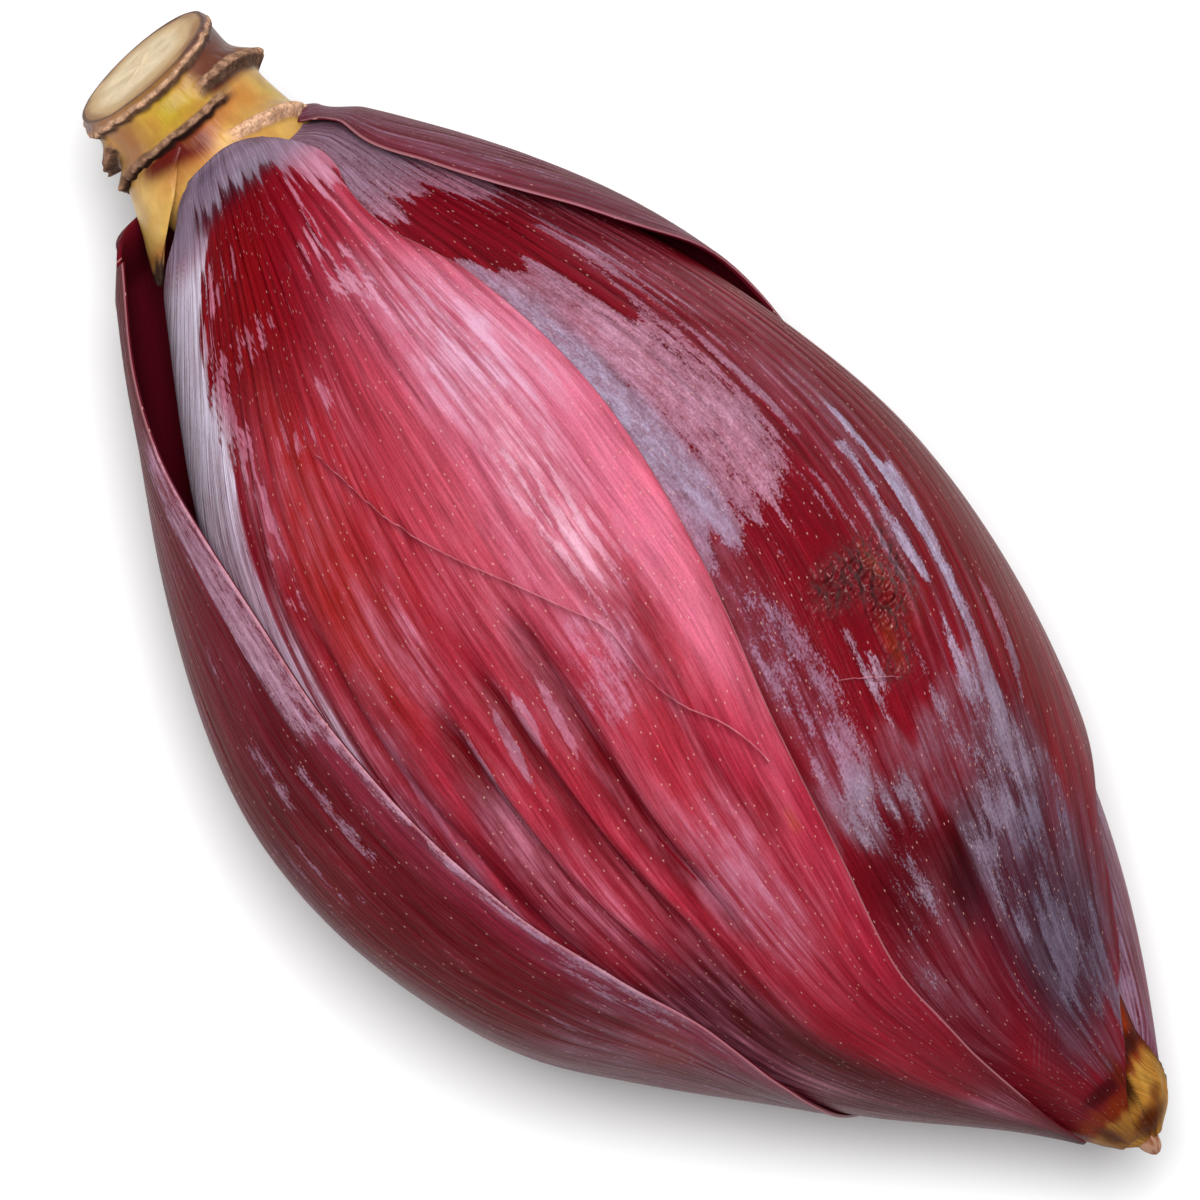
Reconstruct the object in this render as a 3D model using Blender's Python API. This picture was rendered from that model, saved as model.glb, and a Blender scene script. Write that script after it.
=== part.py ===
"""Banana blossom, picked and lying on its side: a cut stem, seven bracts in layers round a closed inner
bud, and the hands of flowers at the roots of the bracts.

Sizes below are in millimetres. The blossom is described by two numbers: `along`, the distance from the
middle of the cut face towards the tip, and `turn`, the angle round the bud in degrees, 0 on top and 90 on
the +Y side.
"""
import math

import bmesh
import bpy
import numpy as np

MM = 0.001

# ---- driving sizes -------------------------------------------------------------------------------------
LENGTH = 240.0             # middle of the cut face to the tip
STEM_RADIUS = 13.1         # at the cut face
CUT_SLANT = 3.7            # how far the top of the cut face leans towards the tip
STEM_END = 50.0            # where the stem meets the inner bud
ROOT_RADIUS = 14.9         # where a bract or a hand of flowers sits against the stem
LAYER_PITCH = 2.4          # one bract to the next, in the body
TIP_PITCH = 1.0            # the same at the tip
LAYER_GAP = 0.72           # air between two bracts, part of the pitch
TIP_GAP = 0.45
HEIGHT_RATIO = 0.92        # the bud is a little flatter than it is wide
POCKET_DEPTH = 12.0        # room for the flowers between the inner bud and the bracts
MID_ALONG = 118.15         # the origin stands under the middle of the bounding box
MID_ACROSS = -10.44

# Half-width and middle line of the bud out to its front bract, (along, mm)
HALF_WIDTH = ((19, 14.8), (34, 25.6), (68, 44.8), (105, 55.2), (130, 57.3), (165, 50.8), (200, 32.8),
              (231, 9.9), (240, 4.4))
SIDE_DRIFT = ((0, 0), (34, -0.4), (68, -3.0), (126, -3.8), (165, -3.2), (200, 0.4), (231, 2.6), (240, 1.2))
AXIS_HEIGHT = ((0, 58.0), (34, 54.9), (80, 53.7), (126, 53.5), (170, 53.5), (205, 53.0), (240, 51.0))

ROOT_LENGTH = 8.0          # a bract turns from the stem to its full girth over this
FLOOR_SKIN = 0.9           # skin left over the flat spot that the blossom rests on
GRID_ALONG = 20            # faces of one bract, root to tip and margin to margin
GRID_ACROSS = 12
ROW_CROWDING = 0.08        # rows stand closer together at the root and the tip
STEM_SIDES = 40
BUD_SIDES = 28


# ---- curves --------------------------------------------------------------------------------------------
def smooth(value):
    """0 to 1 with level ends."""
    value = min(max(value, 0.0), 1.0)
    return value * value * (3.0 - 2.0 * value)


def curve(points):
    """A smooth curve through (along, value) points, flat in slope beyond its ends."""
    xs = np.array([p[0] for p in points], float)
    ys = np.array([p[1] for p in points], float)
    steps = np.diff(xs)
    slopes = np.diff(ys) / steps
    tangent = np.zeros(len(xs))
    for i in range(1, len(xs) - 1):
        tangent[i] = (slopes[i - 1] * steps[i] + slopes[i] * steps[i - 1]) / (steps[i - 1] + steps[i])
    tangent[0] = slopes[0]
    tangent[-1] = slopes[-1]

    def value_at(x):
        i = int(np.clip(np.searchsorted(xs, x) - 1, 0, len(steps) - 1))
        t = min(max((x - xs[i]) / steps[i], 0.0), 1.0)
        a = (1 + 2 * t) * (1 - t) ** 2
        b = t * t * (3 - 2 * t)
        c = t * (1 - t) ** 2 * steps[i]
        d = t * t * (t - 1) * steps[i]
        return float(a * ys[i] + b * ys[i + 1] + c * tangent[i] + d * tangent[i + 1])
    return value_at


half_width = curve(HALF_WIDTH)
side_drift = curve(SIDE_DRIFT)
axis_height = curve(AXIS_HEIGHT)


def pitch(along):
    return TIP_PITCH + (LAYER_PITCH - TIP_PITCH) * smooth((LENGTH - along) / 65.0)


def thickness(along):
    share = smooth((LENGTH - along) / 65.0)
    return pitch(along) - (TIP_GAP + (LAYER_GAP - TIP_GAP) * share)


def pocket(along):
    """How much slimmer the inner bud is near the stem, where the flowers lie."""
    return POCKET_DEPTH * smooth((125.0 - along) / 65.0)


def spot(along, turn, wide, high):
    """A point of the bud in metres, with half-width `wide` and half-height `high` about the middle line."""
    angle = math.radians(turn)
    return ((along - MID_ALONG) * MM,
            (side_drift(along) + wide * math.sin(angle) - MID_ACROSS) * MM,
            (axis_height(along) + high * math.cos(angle)) * MM)


def reach(along, offset, root_along=None, root_length=ROOT_LENGTH, root_radius=ROOT_RADIUS, held=1.0):
    """Half-width and half-height of a layer `offset` outside the front bract, drawn in at its root.

    `held` is 1 where the root is grown to the stem and 0 where it stands free of it.
    """
    wide = half_width(along) + offset
    round_end = smooth((along - 25.0) / 40.0) * smooth((LENGTH - along) / 30.0)
    high = half_width(along) * (1.0 - (1.0 - HEIGHT_RATIO) * round_end) + offset
    if root_along is not None:
        share = 1.0 - held * (1.0 - smooth((along - root_along) / root_length))
        wide = root_radius + (wide - root_radius) * share
        high = root_radius + (high - root_radius) * share
    return wide, high


# ---- meshes --------------------------------------------------------------------------------------------
def principled(name, color, roughness):
    material = bpy.data.materials.new(name)
    material.use_nodes = True
    shader = material.node_tree.nodes["Principled BSDF"]
    shader.inputs["Base Color"].default_value = (*color, 1.0)
    shader.inputs["Roughness"].default_value = roughness
    shader.inputs["Metallic"].default_value = 0.0
    return material


def add_object(name, bm, material):
    bmesh.ops.recalc_face_normals(bm, faces=bm.faces)
    mesh = bpy.data.meshes.new(name)
    bm.to_mesh(mesh)
    bm.free()
    obj = bpy.data.objects.new(name, mesh)
    bpy.context.scene.collection.objects.link(obj)
    mesh.materials.append(material)
    return obj


def sheet(name, outer, inner, material, rows=GRID_ALONG, columns=GRID_ACROSS):
    """A closed skin between two surfaces, each a function of u (margin to margin) and v (root to tip)."""
    bm = bmesh.new()
    places = [j / rows - ROW_CROWDING * math.sin(2.0 * math.pi * j / rows) for j in range(rows + 1)]
    grids = []
    for surface in (outer, inner):
        grids.append([[bm.verts.new(surface(i / columns, v)) for i in range(columns + 1)] for v in places])
    for grid in grids:
        for j in range(rows):
            for i in range(columns):
                bm.faces.new((grid[j][i], grid[j][i + 1], grid[j + 1][i + 1], grid[j + 1][i]))
    rim = ([(0, i) for i in range(columns)] + [(j, columns) for j in range(rows)]
           + [(rows, i) for i in range(columns, 0, -1)] + [(j, 0) for j in range(rows, 0, -1)])
    for (j, i), (k, m) in zip(rim, rim[1:] + rim[:1]):
        bm.faces.new((grids[0][j][i], grids[1][j][i], grids[1][k][m], grids[0][k][m]))
    return add_object(name, bm, material)


def lathe(name, rings, material):
    """A closed solid through rings of points, with a flat fan at each end."""
    bm = bmesh.new()
    loops = [[bm.verts.new(point) for point in ring] for ring in rings]
    for low, high in zip(loops, loops[1:]):
        for i, vert in enumerate(low):
            k = (i + 1) % len(low)
            bm.faces.new((vert, low[k], high[k], high[i]))
    for loop in (loops[0], loops[-1]):
        centre = bm.verts.new(np.mean([vert.co[:] for vert in loop], axis=0))
        for i, vert in enumerate(loop):
            bm.faces.new((vert, loop[(i + 1) % len(loop)], centre))
    return add_object(name, bm, material)


def bract(name, material, layer, left, right, root, tip, lift=None, root_length=ROOT_LENGTH,
          arch=(2.8, 2.8), floor=False, sink=None, free_corner=0.0):
    """One bract: `left` and `right` are its margins as turn angles along the bud.

    `arch` is how far its root edge falls back towards the tip at either margin. `free_corner` is the share
    of its width, from the left margin, that isn't grown to the stem: 0 for none and 1 for all of it.
    """
    left_turn = curve(left)
    right_turn = curve(right)

    def place(u, v, inside):
        along = root + (tip - root) * v
        turn = left_turn(along) + (right_turn(along) - left_turn(along)) * u
        along += arch[round(u)] * (2.0 * u - 1.0) ** 2 * (1.0 - v) ** 6
        offset = layer * pitch(along)
        if lift:
            offset += lift(along, u, turn)
        if sink:
            offset -= sink(along)
        margin = smooth(min(u, 1.0 - u) / 0.2) * smooth((1.0 - v) / 0.06)
        skin = thickness(along) * (0.55 + 0.45 * margin)
        if inside:
            offset -= skin
        held = smooth(u / free_corner) if 0.0 < free_corner < 1.0 else 1.0 - free_corner
        wide, high = reach(along, offset, root, root_length, ROOT_RADIUS + (0.0 if inside else skin), held)
        x, y, z = spot(along, turn, wide, high)
        if floor:
            z = max(z, FLOOR_SKIN * MM if inside else 0.0)
        return x, y, z

    return sheet(name, lambda u, v: place(u, v, False), lambda u, v: place(u, v, True), material)


# ---- stem ----------------------------------------------------------------------------------------------
STEM_PROFILE = ((0, 13.1), (3, 13.3), (7, 12.9), (12, 13.9), (16, 14.2), (22, 14.2), (30, 13.9), (50, 12.9))
# Corky scars of fallen bracts: place along, lean per degree of turn, height, width, first and last turn
SCARS = (
    (3.2, 0.0, 2.2, 1.1, -180, 180),
    (8.6, 0.018, 3.4, 1.3, 8, 150),
    (12.0, -0.014, 3.0, 1.4, -110, 34),
    (7.4, 0.0, 3.8, 1.5, -150, -72),
    (17.2, 0.03, 1.6, 0.9, 12, 95),
)
TONGUE_TURN = -92.0        # a strip of an old sheath that hangs beside the front bract
TONGUE_START = 14.0
TONGUE_LENGTH = 13.5
TONGUE_INSIDE = 10.5       # its middle starts this far from the stem's middle line
TONGUE_RISE = 12.5
TONGUE_ROOT_WIDTH = 4.4
TONGUE_END_WIDTH = 0.8
TONGUE_ROOT_THICKNESS = 2.6
TONGUE_END_THICKNESS = 0.7
TONGUE_RINGS = 6
TONGUE_SIDES = 10


def scar_height(along, turn):
    height = 0.0
    for place, lean, tall, wide, first, last in SCARS:
        window = 1.0
        if last - first < 360:
            window = smooth((turn - first) / 18.0) * smooth((last - turn) / 18.0)
        height += tall * window * math.exp(-((along - place - lean * turn) / wide) ** 2)
    return height


def build_stem(material):
    """The stem with its slanted cut face and its scars, and the strip of sheath grown to it."""
    radius = curve(STEM_PROFILE)
    rings = []
    places = list(np.arange(0.0, 26.0, 1.0)) + [28.0, 34.0, 42.0, STEM_END]
    for along in places:
        ring = []
        for i in range(STEM_SIDES):
            turn = 360.0 * i / STEM_SIDES - 180.0
            lean = CUT_SLANT * math.cos(math.radians(turn)) * (1.0 - smooth(along / 24.0))
            size = radius(along) + scar_height(along, turn)
            ring.append(spot(along + lean, turn, size, size))
        rings.append(ring)
    stem = lathe("stem", rings, material)
    tongue = build_tongue(material)
    joint = stem.modifiers.new("tongue", "BOOLEAN")
    joint.operation = "UNION"
    joint.object = tongue
    bpy.context.view_layer.update()
    joined = bpy.data.meshes.new_from_object(stem.evaluated_get(bpy.context.evaluated_depsgraph_get()))
    stem.modifiers.clear()
    stem.data = joined
    bpy.data.objects.remove(tongue, do_unlink=True)


def build_tongue(material):
    """The strip of old sheath tapers outwards from inside the stem."""
    rings = []
    for v in np.linspace(0.0, 1.0, TONGUE_RINGS):
        along = TONGUE_START + TONGUE_LENGTH * v
        out = TONGUE_INSIDE + TONGUE_RISE * v ** 1.3
        wide = TONGUE_ROOT_WIDTH * (1.0 - v) + TONGUE_END_WIDTH
        thick = TONGUE_ROOT_THICKNESS * (1.0 - v) + TONGUE_END_THICKNESS
        ring = []
        for i in range(TONGUE_SIDES):
            angle = 2.0 * math.pi * i / TONGUE_SIDES
            turn = TONGUE_TURN + math.degrees(wide * math.cos(angle) / out)
            size = out + thick * math.sin(angle)
            ring.append(spot(along, turn, size, size))
        rings.append(ring)
    return lathe("tongue_root", rings, material)


# ---- inner bud and flowers -----------------------------------------------------------------------------
NUB_START = 234.0          # the bare end of the youngest bract, past the others' tips
NUB_RADIUS = 2.4
BUD_LAYERS_IN = 4.0        # the closed bud lies four layers inside the front bract
BUD_GAP = 0.5              # from the end of the stem
BUD_ROOT_LENGTH = 26.0
BUD_ROOT_RADIUS = 11.5
BUD_RINGS = 19
FLOWER_NARROWING = 0.45    # share of a flower's thickness lost at its tip
FLOWER_STEP = 5.0          # how far a flower's tip stands past the groove beside it
FLOWER_GROOVE = 1.4        # depth of the groove between two flowers
HAND_ROOT_LENGTH = 12.0
HAND_ROOT_RISE = 2.2       # outside of a hand's root above the bracts' root radius
# Each hand of flowers: first and last turn, root and tip along, offset of its top, thickness, flowers
HANDS = {
    "front_floret_hand": (-95, -20, 33.0, 86.0, -3.2, 6.0, 9),
    "right_floret_hand": (38, 104, 34.0, 84.0, -5.2, 5.5, 8),
    "under_floret_hand": (154, 226, 48.5, 82.0, -14.8, 4.4, 8),
}


def build_inner_bud(material):
    rings = []
    start = STEM_END + BUD_GAP
    places = list(np.linspace(start, 231.0, BUD_RINGS)) + [235.0, 238.0, LENGTH]
    for along in places:
        offset = -BUD_LAYERS_IN * pitch(along) - pocket(along)
        wide, high = reach(along, offset, STEM_END - 4.0, BUD_ROOT_LENGTH, BUD_ROOT_RADIUS)
        if along > NUB_START:
            nub = NUB_RADIUS * math.sqrt(1.0 - ((along - NUB_START) / (LENGTH + 0.4 - NUB_START)) ** 2)
            wide = nub
            high = nub
        rings.append([spot(along, 360.0 * i / BUD_SIDES, wide, high) for i in range(BUD_SIDES)])
    return lathe("inner_bud", rings, material)


def floret_hand(name, material, first_turn, last_turn, root, tip, top_offset, thick, florets):
    """A comb of flowers lying side by side, joined at the root: ribs outside, level inside."""
    def place(u, v, inside):
        along = root + (tip - root) * v
        spread = 0.45 + 0.55 * smooth(v / 0.5)
        middle = 0.5 * (first_turn + last_turn)
        turn = middle + (last_turn - first_turn) * (u - 0.5) * spread
        rib = abs(math.sin(math.pi * florets * u))
        along -= FLOWER_STEP * (1.0 - rib) * v ** 4
        offset = top_offset - FLOWER_GROOVE * (1.0 - rib)
        slim = thick * (1.0 - FLOWER_NARROWING * smooth((v - 0.6) / 0.4))
        if inside:
            offset = top_offset - slim
        root_radius = ROOT_RADIUS + (0.0 if inside else HAND_ROOT_RISE)
        wide, high = reach(along, offset, root, HAND_ROOT_LENGTH, root_radius)
        return spot(along, turn, wide, high)

    return sheet(name, lambda u, v: place(u, v, False), lambda u, v: place(u, v, True), material,
                 rows=8, columns=4 * florets)


# ---- bracts --------------------------------------------------------------------------------------------
OUTER_LEFT_BULGE = curve(((17, 8.4), (45, 6.5), (62, 6.6), (105, 9.6), (145, 6.4), (160, 4.6), (176, 1.3),
                          (190, 0), (205, 0)))
OUTER_LEFT_EDGE = curve(((17, 7.0), (45, 6.8), (64, 4.2), (82, 1.2), (130, 0.9), (152, 2.6), (170, 2.4),
                         (186, 0.5), (205, 0)))
OUTER_RIGHT_EDGE = curve(((22, 0.5), (45, 2.6), (64, 2.4), (82, 0.8), (100, 0.2), (190, 0.2)))
TIP_BRACT_RIGHT = ((120, 30), (200, 34), (216, 42), (224, 48), (229.5, 66), (233, 92), (238, 118))


def outer_left_lift(along, u, turn):
    """The outer left bract stands off at its margin, bulges at the side and lies close underneath."""
    edge = OUTER_LEFT_EDGE(along)
    bulge = OUTER_LEFT_BULGE(along)
    if u < 0.22:
        return edge + (bulge - edge) * smooth(u / 0.22)
    return bulge * (1.0 - smooth((u - 0.22) / 0.6)) + 0.3 * smooth((u - 0.22) / 0.6)


def outer_right_lift(along, u, turn):
    return OUTER_RIGHT_EDGE(along) * (1.0 - smooth(u / 0.5))


def inner_right_lift(along, u, turn):
    """Where the tip bract doesn't cover it, this bract lies one layer higher."""
    clear = smooth((turn - curve(TIP_BRACT_RIGHT)(along) - 4.0) / 12.0)
    return pitch(along) * clear * smooth((along - 140.0) / 30.0)


def tip_lift(along, u, turn):
    """The dried lobe of the tip bract swells on its right."""
    return 1.0 * smooth((along - 222.0) / 10.0) * smooth((turn - 10.0) / 40.0)


def inner_sink(along):
    """Inner bracts keep close to the bud near the stem and leave room for the flowers outside them."""
    return 5.0 * smooth((112.0 - along) / 45.0)


def clear_scene():
    for obj in list(bpy.data.objects):
        bpy.data.objects.remove(obj, do_unlink=True)


def build_bracts():
    rose = principled("rose_bract", (0.42, 0.03, 0.07), 0.42)
    plum = principled("plum_bract", (0.17, 0.015, 0.035), 0.4)
    ochre = principled("dried_bract", (0.45, 0.2, 0.03), 0.5)

    bract("front_bract", rose, 0,
          ((18.7, -38), (24, -60), (29, -84), (60, -116), (120, -125), (170, -120), (205, -110), (222, -95),
           (231, -74)),
          ((18.7, 28), (27.5, 33), (37, 24), (60, 27), (85, 25.5), (113, 18.3), (141, 8.7), (174, -3.4),
           (190, -13.4), (205, -21.3), (219, -37), (231, -64)),
          18.7, 231.0, arch=(0.3, 3.0))
    bract("outer_left_bract", plum, 1,
          ((17, -68), (30, -72), (46, -66), (62, -58.5), (99, -55), (138, -48), (160, -44.5), (176, -46),
           (188, -54), (197, -76), (205, -110)),
          ((17, -195), (60, -212), (120, -215), (165, -200), (193, -150), (205, -118)),
          17.0, 205.0, lift=outer_left_lift, arch=(0, 0), floor=True, free_corner=0.35)
    bract("right_bract", plum, -1,
          ((28, 12), (60, -8), (120, -20), (180, -35), (210, -60), (225, -95), (236, -66)),
          ((28, 78), (60, 118), (100, 122), (140, 110), (165, 97), (183, 82), (192, 66), (203, 57),
           (212, 48), (219, 34), (225, 12), (231, 3), (236, -12)),
          26.5, 236.0)
    bract("outer_right_bract", plum, 0,
          ((22, 46), (45, 47.5), (62, 56), (75, 68), (86, 88), (100, 106), (130, 122), (160, 130),
           (190, 142)),
          ((22, 122), (60, 164), (120, 168), (160, 162), (190, 150)),
          21.0, 190.0, lift=outer_right_lift)
    bract("tip_bract", ochre, -2,
          ((120, -70), (200, -80), (225, -118), (238, -130)),
          TIP_BRACT_RIGHT,
          120.0, 238.0, lift=tip_lift, arch=(6, 6), free_corner=1.0)
    bract("inner_right_bract", plum, -3,
          ((40, 32), (120, 12), (200, 8), (225, -10), (234, 16)),
          ((40, 115), (120, 132), (180, 138), (215, 132), (234, 96)),
          40.0, 234.0, lift=inner_right_lift, sink=inner_sink, root_length=12.0)
    bract("under_bract", plum, -3,
          ((43, 146), (120, 140), (180, 146), (215, 142), (236, 150)),
          ((43, 236), (120, 246), (180, 250), (215, 250), (236, 220)),
          43.0, 236.0, sink=inner_sink, root_length=7.0)


def main():
    clear_scene()
    stem_skin = principled("stem_skin", (0.42, 0.24, 0.05), 0.55)
    heart = principled("inner_bud_skin", (0.3, 0.03, 0.06), 0.45)
    floret = principled("floret_cream", (0.75, 0.62, 0.4), 0.5)
    build_bracts()
    build_inner_bud(heart)
    for name, layout in HANDS.items():
        floret_hand(name, floret, *layout)
    build_stem(stem_skin)


main()
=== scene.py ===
"""Banana blossom, picked and lying on its side: a cut stem, seven bracts in layers round a closed inner bud,
and the hands of flowers at the roots of the bracts.

Sizes are in millimetres. `along` is the distance from the middle of the cut face towards the tip, and `turn`
is the angle round the bud in degrees, 0 on top and 90 on the +Y side.
"""

import bmesh
import bpy
import numpy as np
from mathutils import Matrix


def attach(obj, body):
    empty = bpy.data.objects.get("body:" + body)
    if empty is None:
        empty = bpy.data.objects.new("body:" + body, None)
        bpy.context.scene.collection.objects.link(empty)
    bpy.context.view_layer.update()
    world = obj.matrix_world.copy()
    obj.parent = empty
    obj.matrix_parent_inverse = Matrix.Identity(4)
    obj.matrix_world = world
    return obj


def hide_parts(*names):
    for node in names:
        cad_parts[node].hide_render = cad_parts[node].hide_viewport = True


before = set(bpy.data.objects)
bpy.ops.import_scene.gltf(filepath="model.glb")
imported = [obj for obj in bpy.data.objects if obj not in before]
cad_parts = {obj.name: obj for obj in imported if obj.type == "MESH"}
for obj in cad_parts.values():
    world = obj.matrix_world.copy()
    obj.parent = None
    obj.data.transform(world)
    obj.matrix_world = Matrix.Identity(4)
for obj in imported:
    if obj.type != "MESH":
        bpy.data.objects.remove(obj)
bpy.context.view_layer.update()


# ---- Stem ------------------------------------------------------------------------------------------------
# The flower stalk, cut through with a knife: fibrous yellow-green flesh under a thin skin, with the corky
# scars of bracts that have already fallen, and a strip of an old sheath. Every bract is grown to it.
MM = 0.001
LENGTH = 240.0
MID_ALONG = 118.15         # the origin stands under the middle of the blossom
MID_ACROSS = -10.44

# The blossom's middle line: how far it lies to the side and above the table, at places along it
SIDE_DRIFT = ((0, 0), (34, -0.4), (68, -3.0), (126, -3.8), (165, -3.2), (200, 0.4), (231, 2.6), (240, 1.2))
AXIS_HEIGHT = ((0, 58.0), (34, 54.9), (80, 53.7), (126, 53.5), (170, 53.5), (205, 53.0), (240, 51.0))


def smooth(value):
    """0 to 1 with level ends."""
    value = np.clip(value, 0.0, 1.0)
    return value * value * (3.0 - 2.0 * value)


def rise(value, start, run):
    """0 up to `start`, then up to 1 over `run`."""
    return smooth((value - start) / run)


def fall(value, end, run):
    """Down from 1 over `run`, and 0 from `end` on."""
    return smooth((end - value) / run)


def hill(value, spread):
    """1 where the value is 0, dying away on both sides."""
    return np.exp(-(value / spread) ** 2)


def curve(points):
    """A smooth curve through (place, value) points."""
    xs, ys = np.array(points, float).T
    steps = np.diff(xs)
    slopes = np.diff(ys) / steps
    inner = (slopes[:-1] * steps[1:] + slopes[1:] * steps[:-1]) / (steps[:-1] + steps[1:])
    tangent = np.concatenate((slopes[:1], inner, slopes[-1:]))

    def value_at(x):
        x = np.asarray(x, float)
        i = np.clip(np.searchsorted(xs, x) - 1, 0, len(steps) - 1)
        t = np.clip((x - xs[i]) / steps[i], 0.0, 1.0)
        ends = (1 + 2 * t) * (1 - t) ** 2 * ys[i] + t * t * (3 - 2 * t) * ys[i + 1]
        return ends + (t * (1 - t) ** 2 * tangent[i] + t * t * (t - 1) * tangent[i + 1]) * steps[i]
    return value_at


side_drift = curve(SIDE_DRIFT)
axis_height = curve(AXIS_HEIGHT)
LATTICE = np.random.default_rng(11).random((10, 64, 64))


def lumps(x, y, seed=0, wrap=64):
    """Smooth random hills from 0 to 1, one unit apart, that repeat after `wrap` units of x."""
    x, y = np.broadcast_arrays(np.asarray(x, float), np.asarray(y, float))
    i = np.floor(x).astype(int)
    j = np.floor(y).astype(int)
    fx = smooth(x - i)
    fy = smooth(y - j)
    table = LATTICE[seed]
    low = table[i % wrap, j % 64] * (1 - fx) + table[(i + 1) % wrap, j % 64] * fx
    high = table[i % wrap, (j + 1) % 64] * (1 - fx) + table[(i + 1) % wrap, (j + 1) % 64] * fx
    return low * (1 - fy) + high * fy


def spot(along, turn, wide, high):
    """Points of the blossom in metres, `wide` to the side and `high` above its middle line."""
    angle = np.radians(turn)
    return np.stack(np.broadcast_arrays(
        (along - MID_ALONG) * MM,
        (side_drift(along) + wide * np.sin(angle) - MID_ACROSS) * MM,
        (axis_height(along) + high * np.cos(angle)) * MM), axis=-1)


def colour(hex_value):
    """An sRGB hex colour as linear red, green and blue."""
    srgb = np.array([int(hex_value[i:i + 2], 16) for i in (1, 3, 5)]) / 255.0
    return np.where(srgb <= 0.04045, srgb / 12.92, ((srgb + 0.055) / 1.055) ** 2.4)


def tinted(base, *coats):
    """Lays coats of (share, hex colour) over one another, each share an array from 0 to 1."""
    base = colour(base) if isinstance(base, str) else base
    for share, coat in coats:
        share = np.clip(np.asarray(share, float), 0.0, 1.0)[..., None]
        base = base * (1.0 - share) + (colour(coat) if isinstance(coat, str) else coat) * share
    return base


LAYER_SIZES = {"veins": 2, "tint": 3, "flesh": 3, "wax": 3}      # numbers at each point; the rest have one


def add_layer(mesh, layer, values):
    """Gives each point of a mesh a value or a colour, or its place on the `veins` UV map."""
    values = values.reshape(-1, LAYER_SIZES.get(layer, 1)).astype(np.float32)
    if layer == "veins":
        corner_points = np.zeros(len(mesh.loops), np.int32)
        mesh.loops.foreach_get("vertex_index", corner_points)
        mesh.uv_layers.new(name=layer).data.foreach_set("uv", values[corner_points].ravel())
    elif layer in LAYER_SIZES:
        rgba = np.insert(values, 3, 1.0, axis=1)
        mesh.attributes.new(layer, "FLOAT_COLOR", "POINT").data.foreach_set("color", rgba.ravel())
    else:
        mesh.attributes.new(layer, "FLOAT", "POINT").data.foreach_set("value", values.ravel())


def placed(name, data):
    """Puts a new object at the origin of the scene."""
    obj = bpy.data.objects.new(name, data)
    bpy.context.scene.collection.objects.link(obj)
    return obj


def plain_mesh(name, points, faces, materials, slots=None, **layers):
    """A mesh object at the origin, with layers that are spread over the whole grid of its points."""
    mesh = bpy.data.meshes.new(name)
    mesh.from_pydata(points.reshape(-1, 3).tolist(), [], faces)
    for material in materials:
        mesh.materials.append(material)
    if slots is not None:
        mesh.polygons.foreach_set("material_index", np.asarray(slots, np.int32))
    for layer, values in layers.items():
        each = (LAYER_SIZES[layer],) if layer in LAYER_SIZES else ()
        add_layer(mesh, layer, np.broadcast_to(values, points.shape[:-1] + each))
    bm = bmesh.new()
    bm.from_mesh(mesh)
    bmesh.ops.recalc_face_normals(bm, faces=bm.faces)
    bm.to_mesh(mesh)
    bm.free()
    mesh.shade_smooth()
    return placed(name, mesh)


def node(tree, kind, inputs=(), **settings):
    """Adds a node. `inputs` gives its sockets, in order or by name or number, a value, a colour, an output,
    or a whole node, which stands for its first output."""
    made = tree.nodes.new(kind)
    for name, value in settings.items():
        setattr(made, name, value)
    for name, value in (inputs if isinstance(inputs, dict) else dict(enumerate(inputs))).items():
        if isinstance(value, bpy.types.Node):
            tree.links.new(value.outputs[0], made.inputs[name])
        elif isinstance(value, bpy.types.NodeSocket):
            tree.links.new(value, made.inputs[name])
        elif isinstance(value, str):
            made.inputs[name].default_value = (*colour(value), 1.0)
        else:
            made.inputs[name].default_value = value
    return made


def new_material(name):
    """A material with an empty node tree."""
    material = bpy.data.materials.new(name)
    material.use_nodes = True
    material.node_tree.nodes.clear()
    return material, material.node_tree


# Plant skin over fibrous flesh, cork where it scarred: half-gloss and faintly striped along the stem, with
# granular dull cork. Fibres are 0.5 mm apart and cork grains 0.6 mm.
stem_skin, tree = new_material("stem_skin_and_cork")
place = node(tree, "ShaderNodeTexCoord").outputs["Object"]
tint = node(tree, "ShaderNodeAttribute", attribute_name="tint")
cork = node(tree, "ShaderNodeAttribute", attribute_name="cork").outputs["Fac"]
stretched = node(tree, "ShaderNodeMapping", {"Vector": place, "Scale": (250, 1700, 1700)})
fibres = node(tree, "ShaderNodeTexNoise", {"Vector": stretched, "Scale": 1.0, "Detail": 3.0})
grains = node(tree, "ShaderNodeTexNoise", {"Vector": place, "Scale": 2200.0, "Detail": 4.0, "Roughness": 0.7})
blotch = node(tree, "ShaderNodeTexNoise", {"Vector": place, "Scale": 260.0, "Detail": 5.0, "Roughness": 0.65})
fibre_tone = node(tree, "ShaderNodeMapRange", (fibres, 0.3, 0.7, 0.96, 1.03))
grain_tone = node(tree, "ShaderNodeMapRange", (grains, 0.35, 0.65, 0.6, 1.3))
tone = node(tree, "ShaderNodeMix", {0: cork, 2: fibre_tone, 3: grain_tone})
patchy = node(tree, "ShaderNodeMapRange", (blotch, 0.35, 0.68, 0.86, 1.06))
tone = node(tree, "ShaderNodeMath", (tone, patchy), operation="MULTIPLY")
tinted_tone = node(tree, "ShaderNodeVectorMath", {0: tint, "Scale": tone.outputs[0]}, operation="SCALE")
dull = node(tree, "ShaderNodeMapRange", (cork, 0.0, 1.0, 0.38, 0.85))
height = node(tree, "ShaderNodeMix", {0: cork, 2: fibres, 3: grains})
depth = node(tree, "ShaderNodeMapRange", (cork, 0.0, 1.0, 0.12, 0.45))
height = node(tree, "ShaderNodeMath", (height, depth), operation="MULTIPLY")
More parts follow.
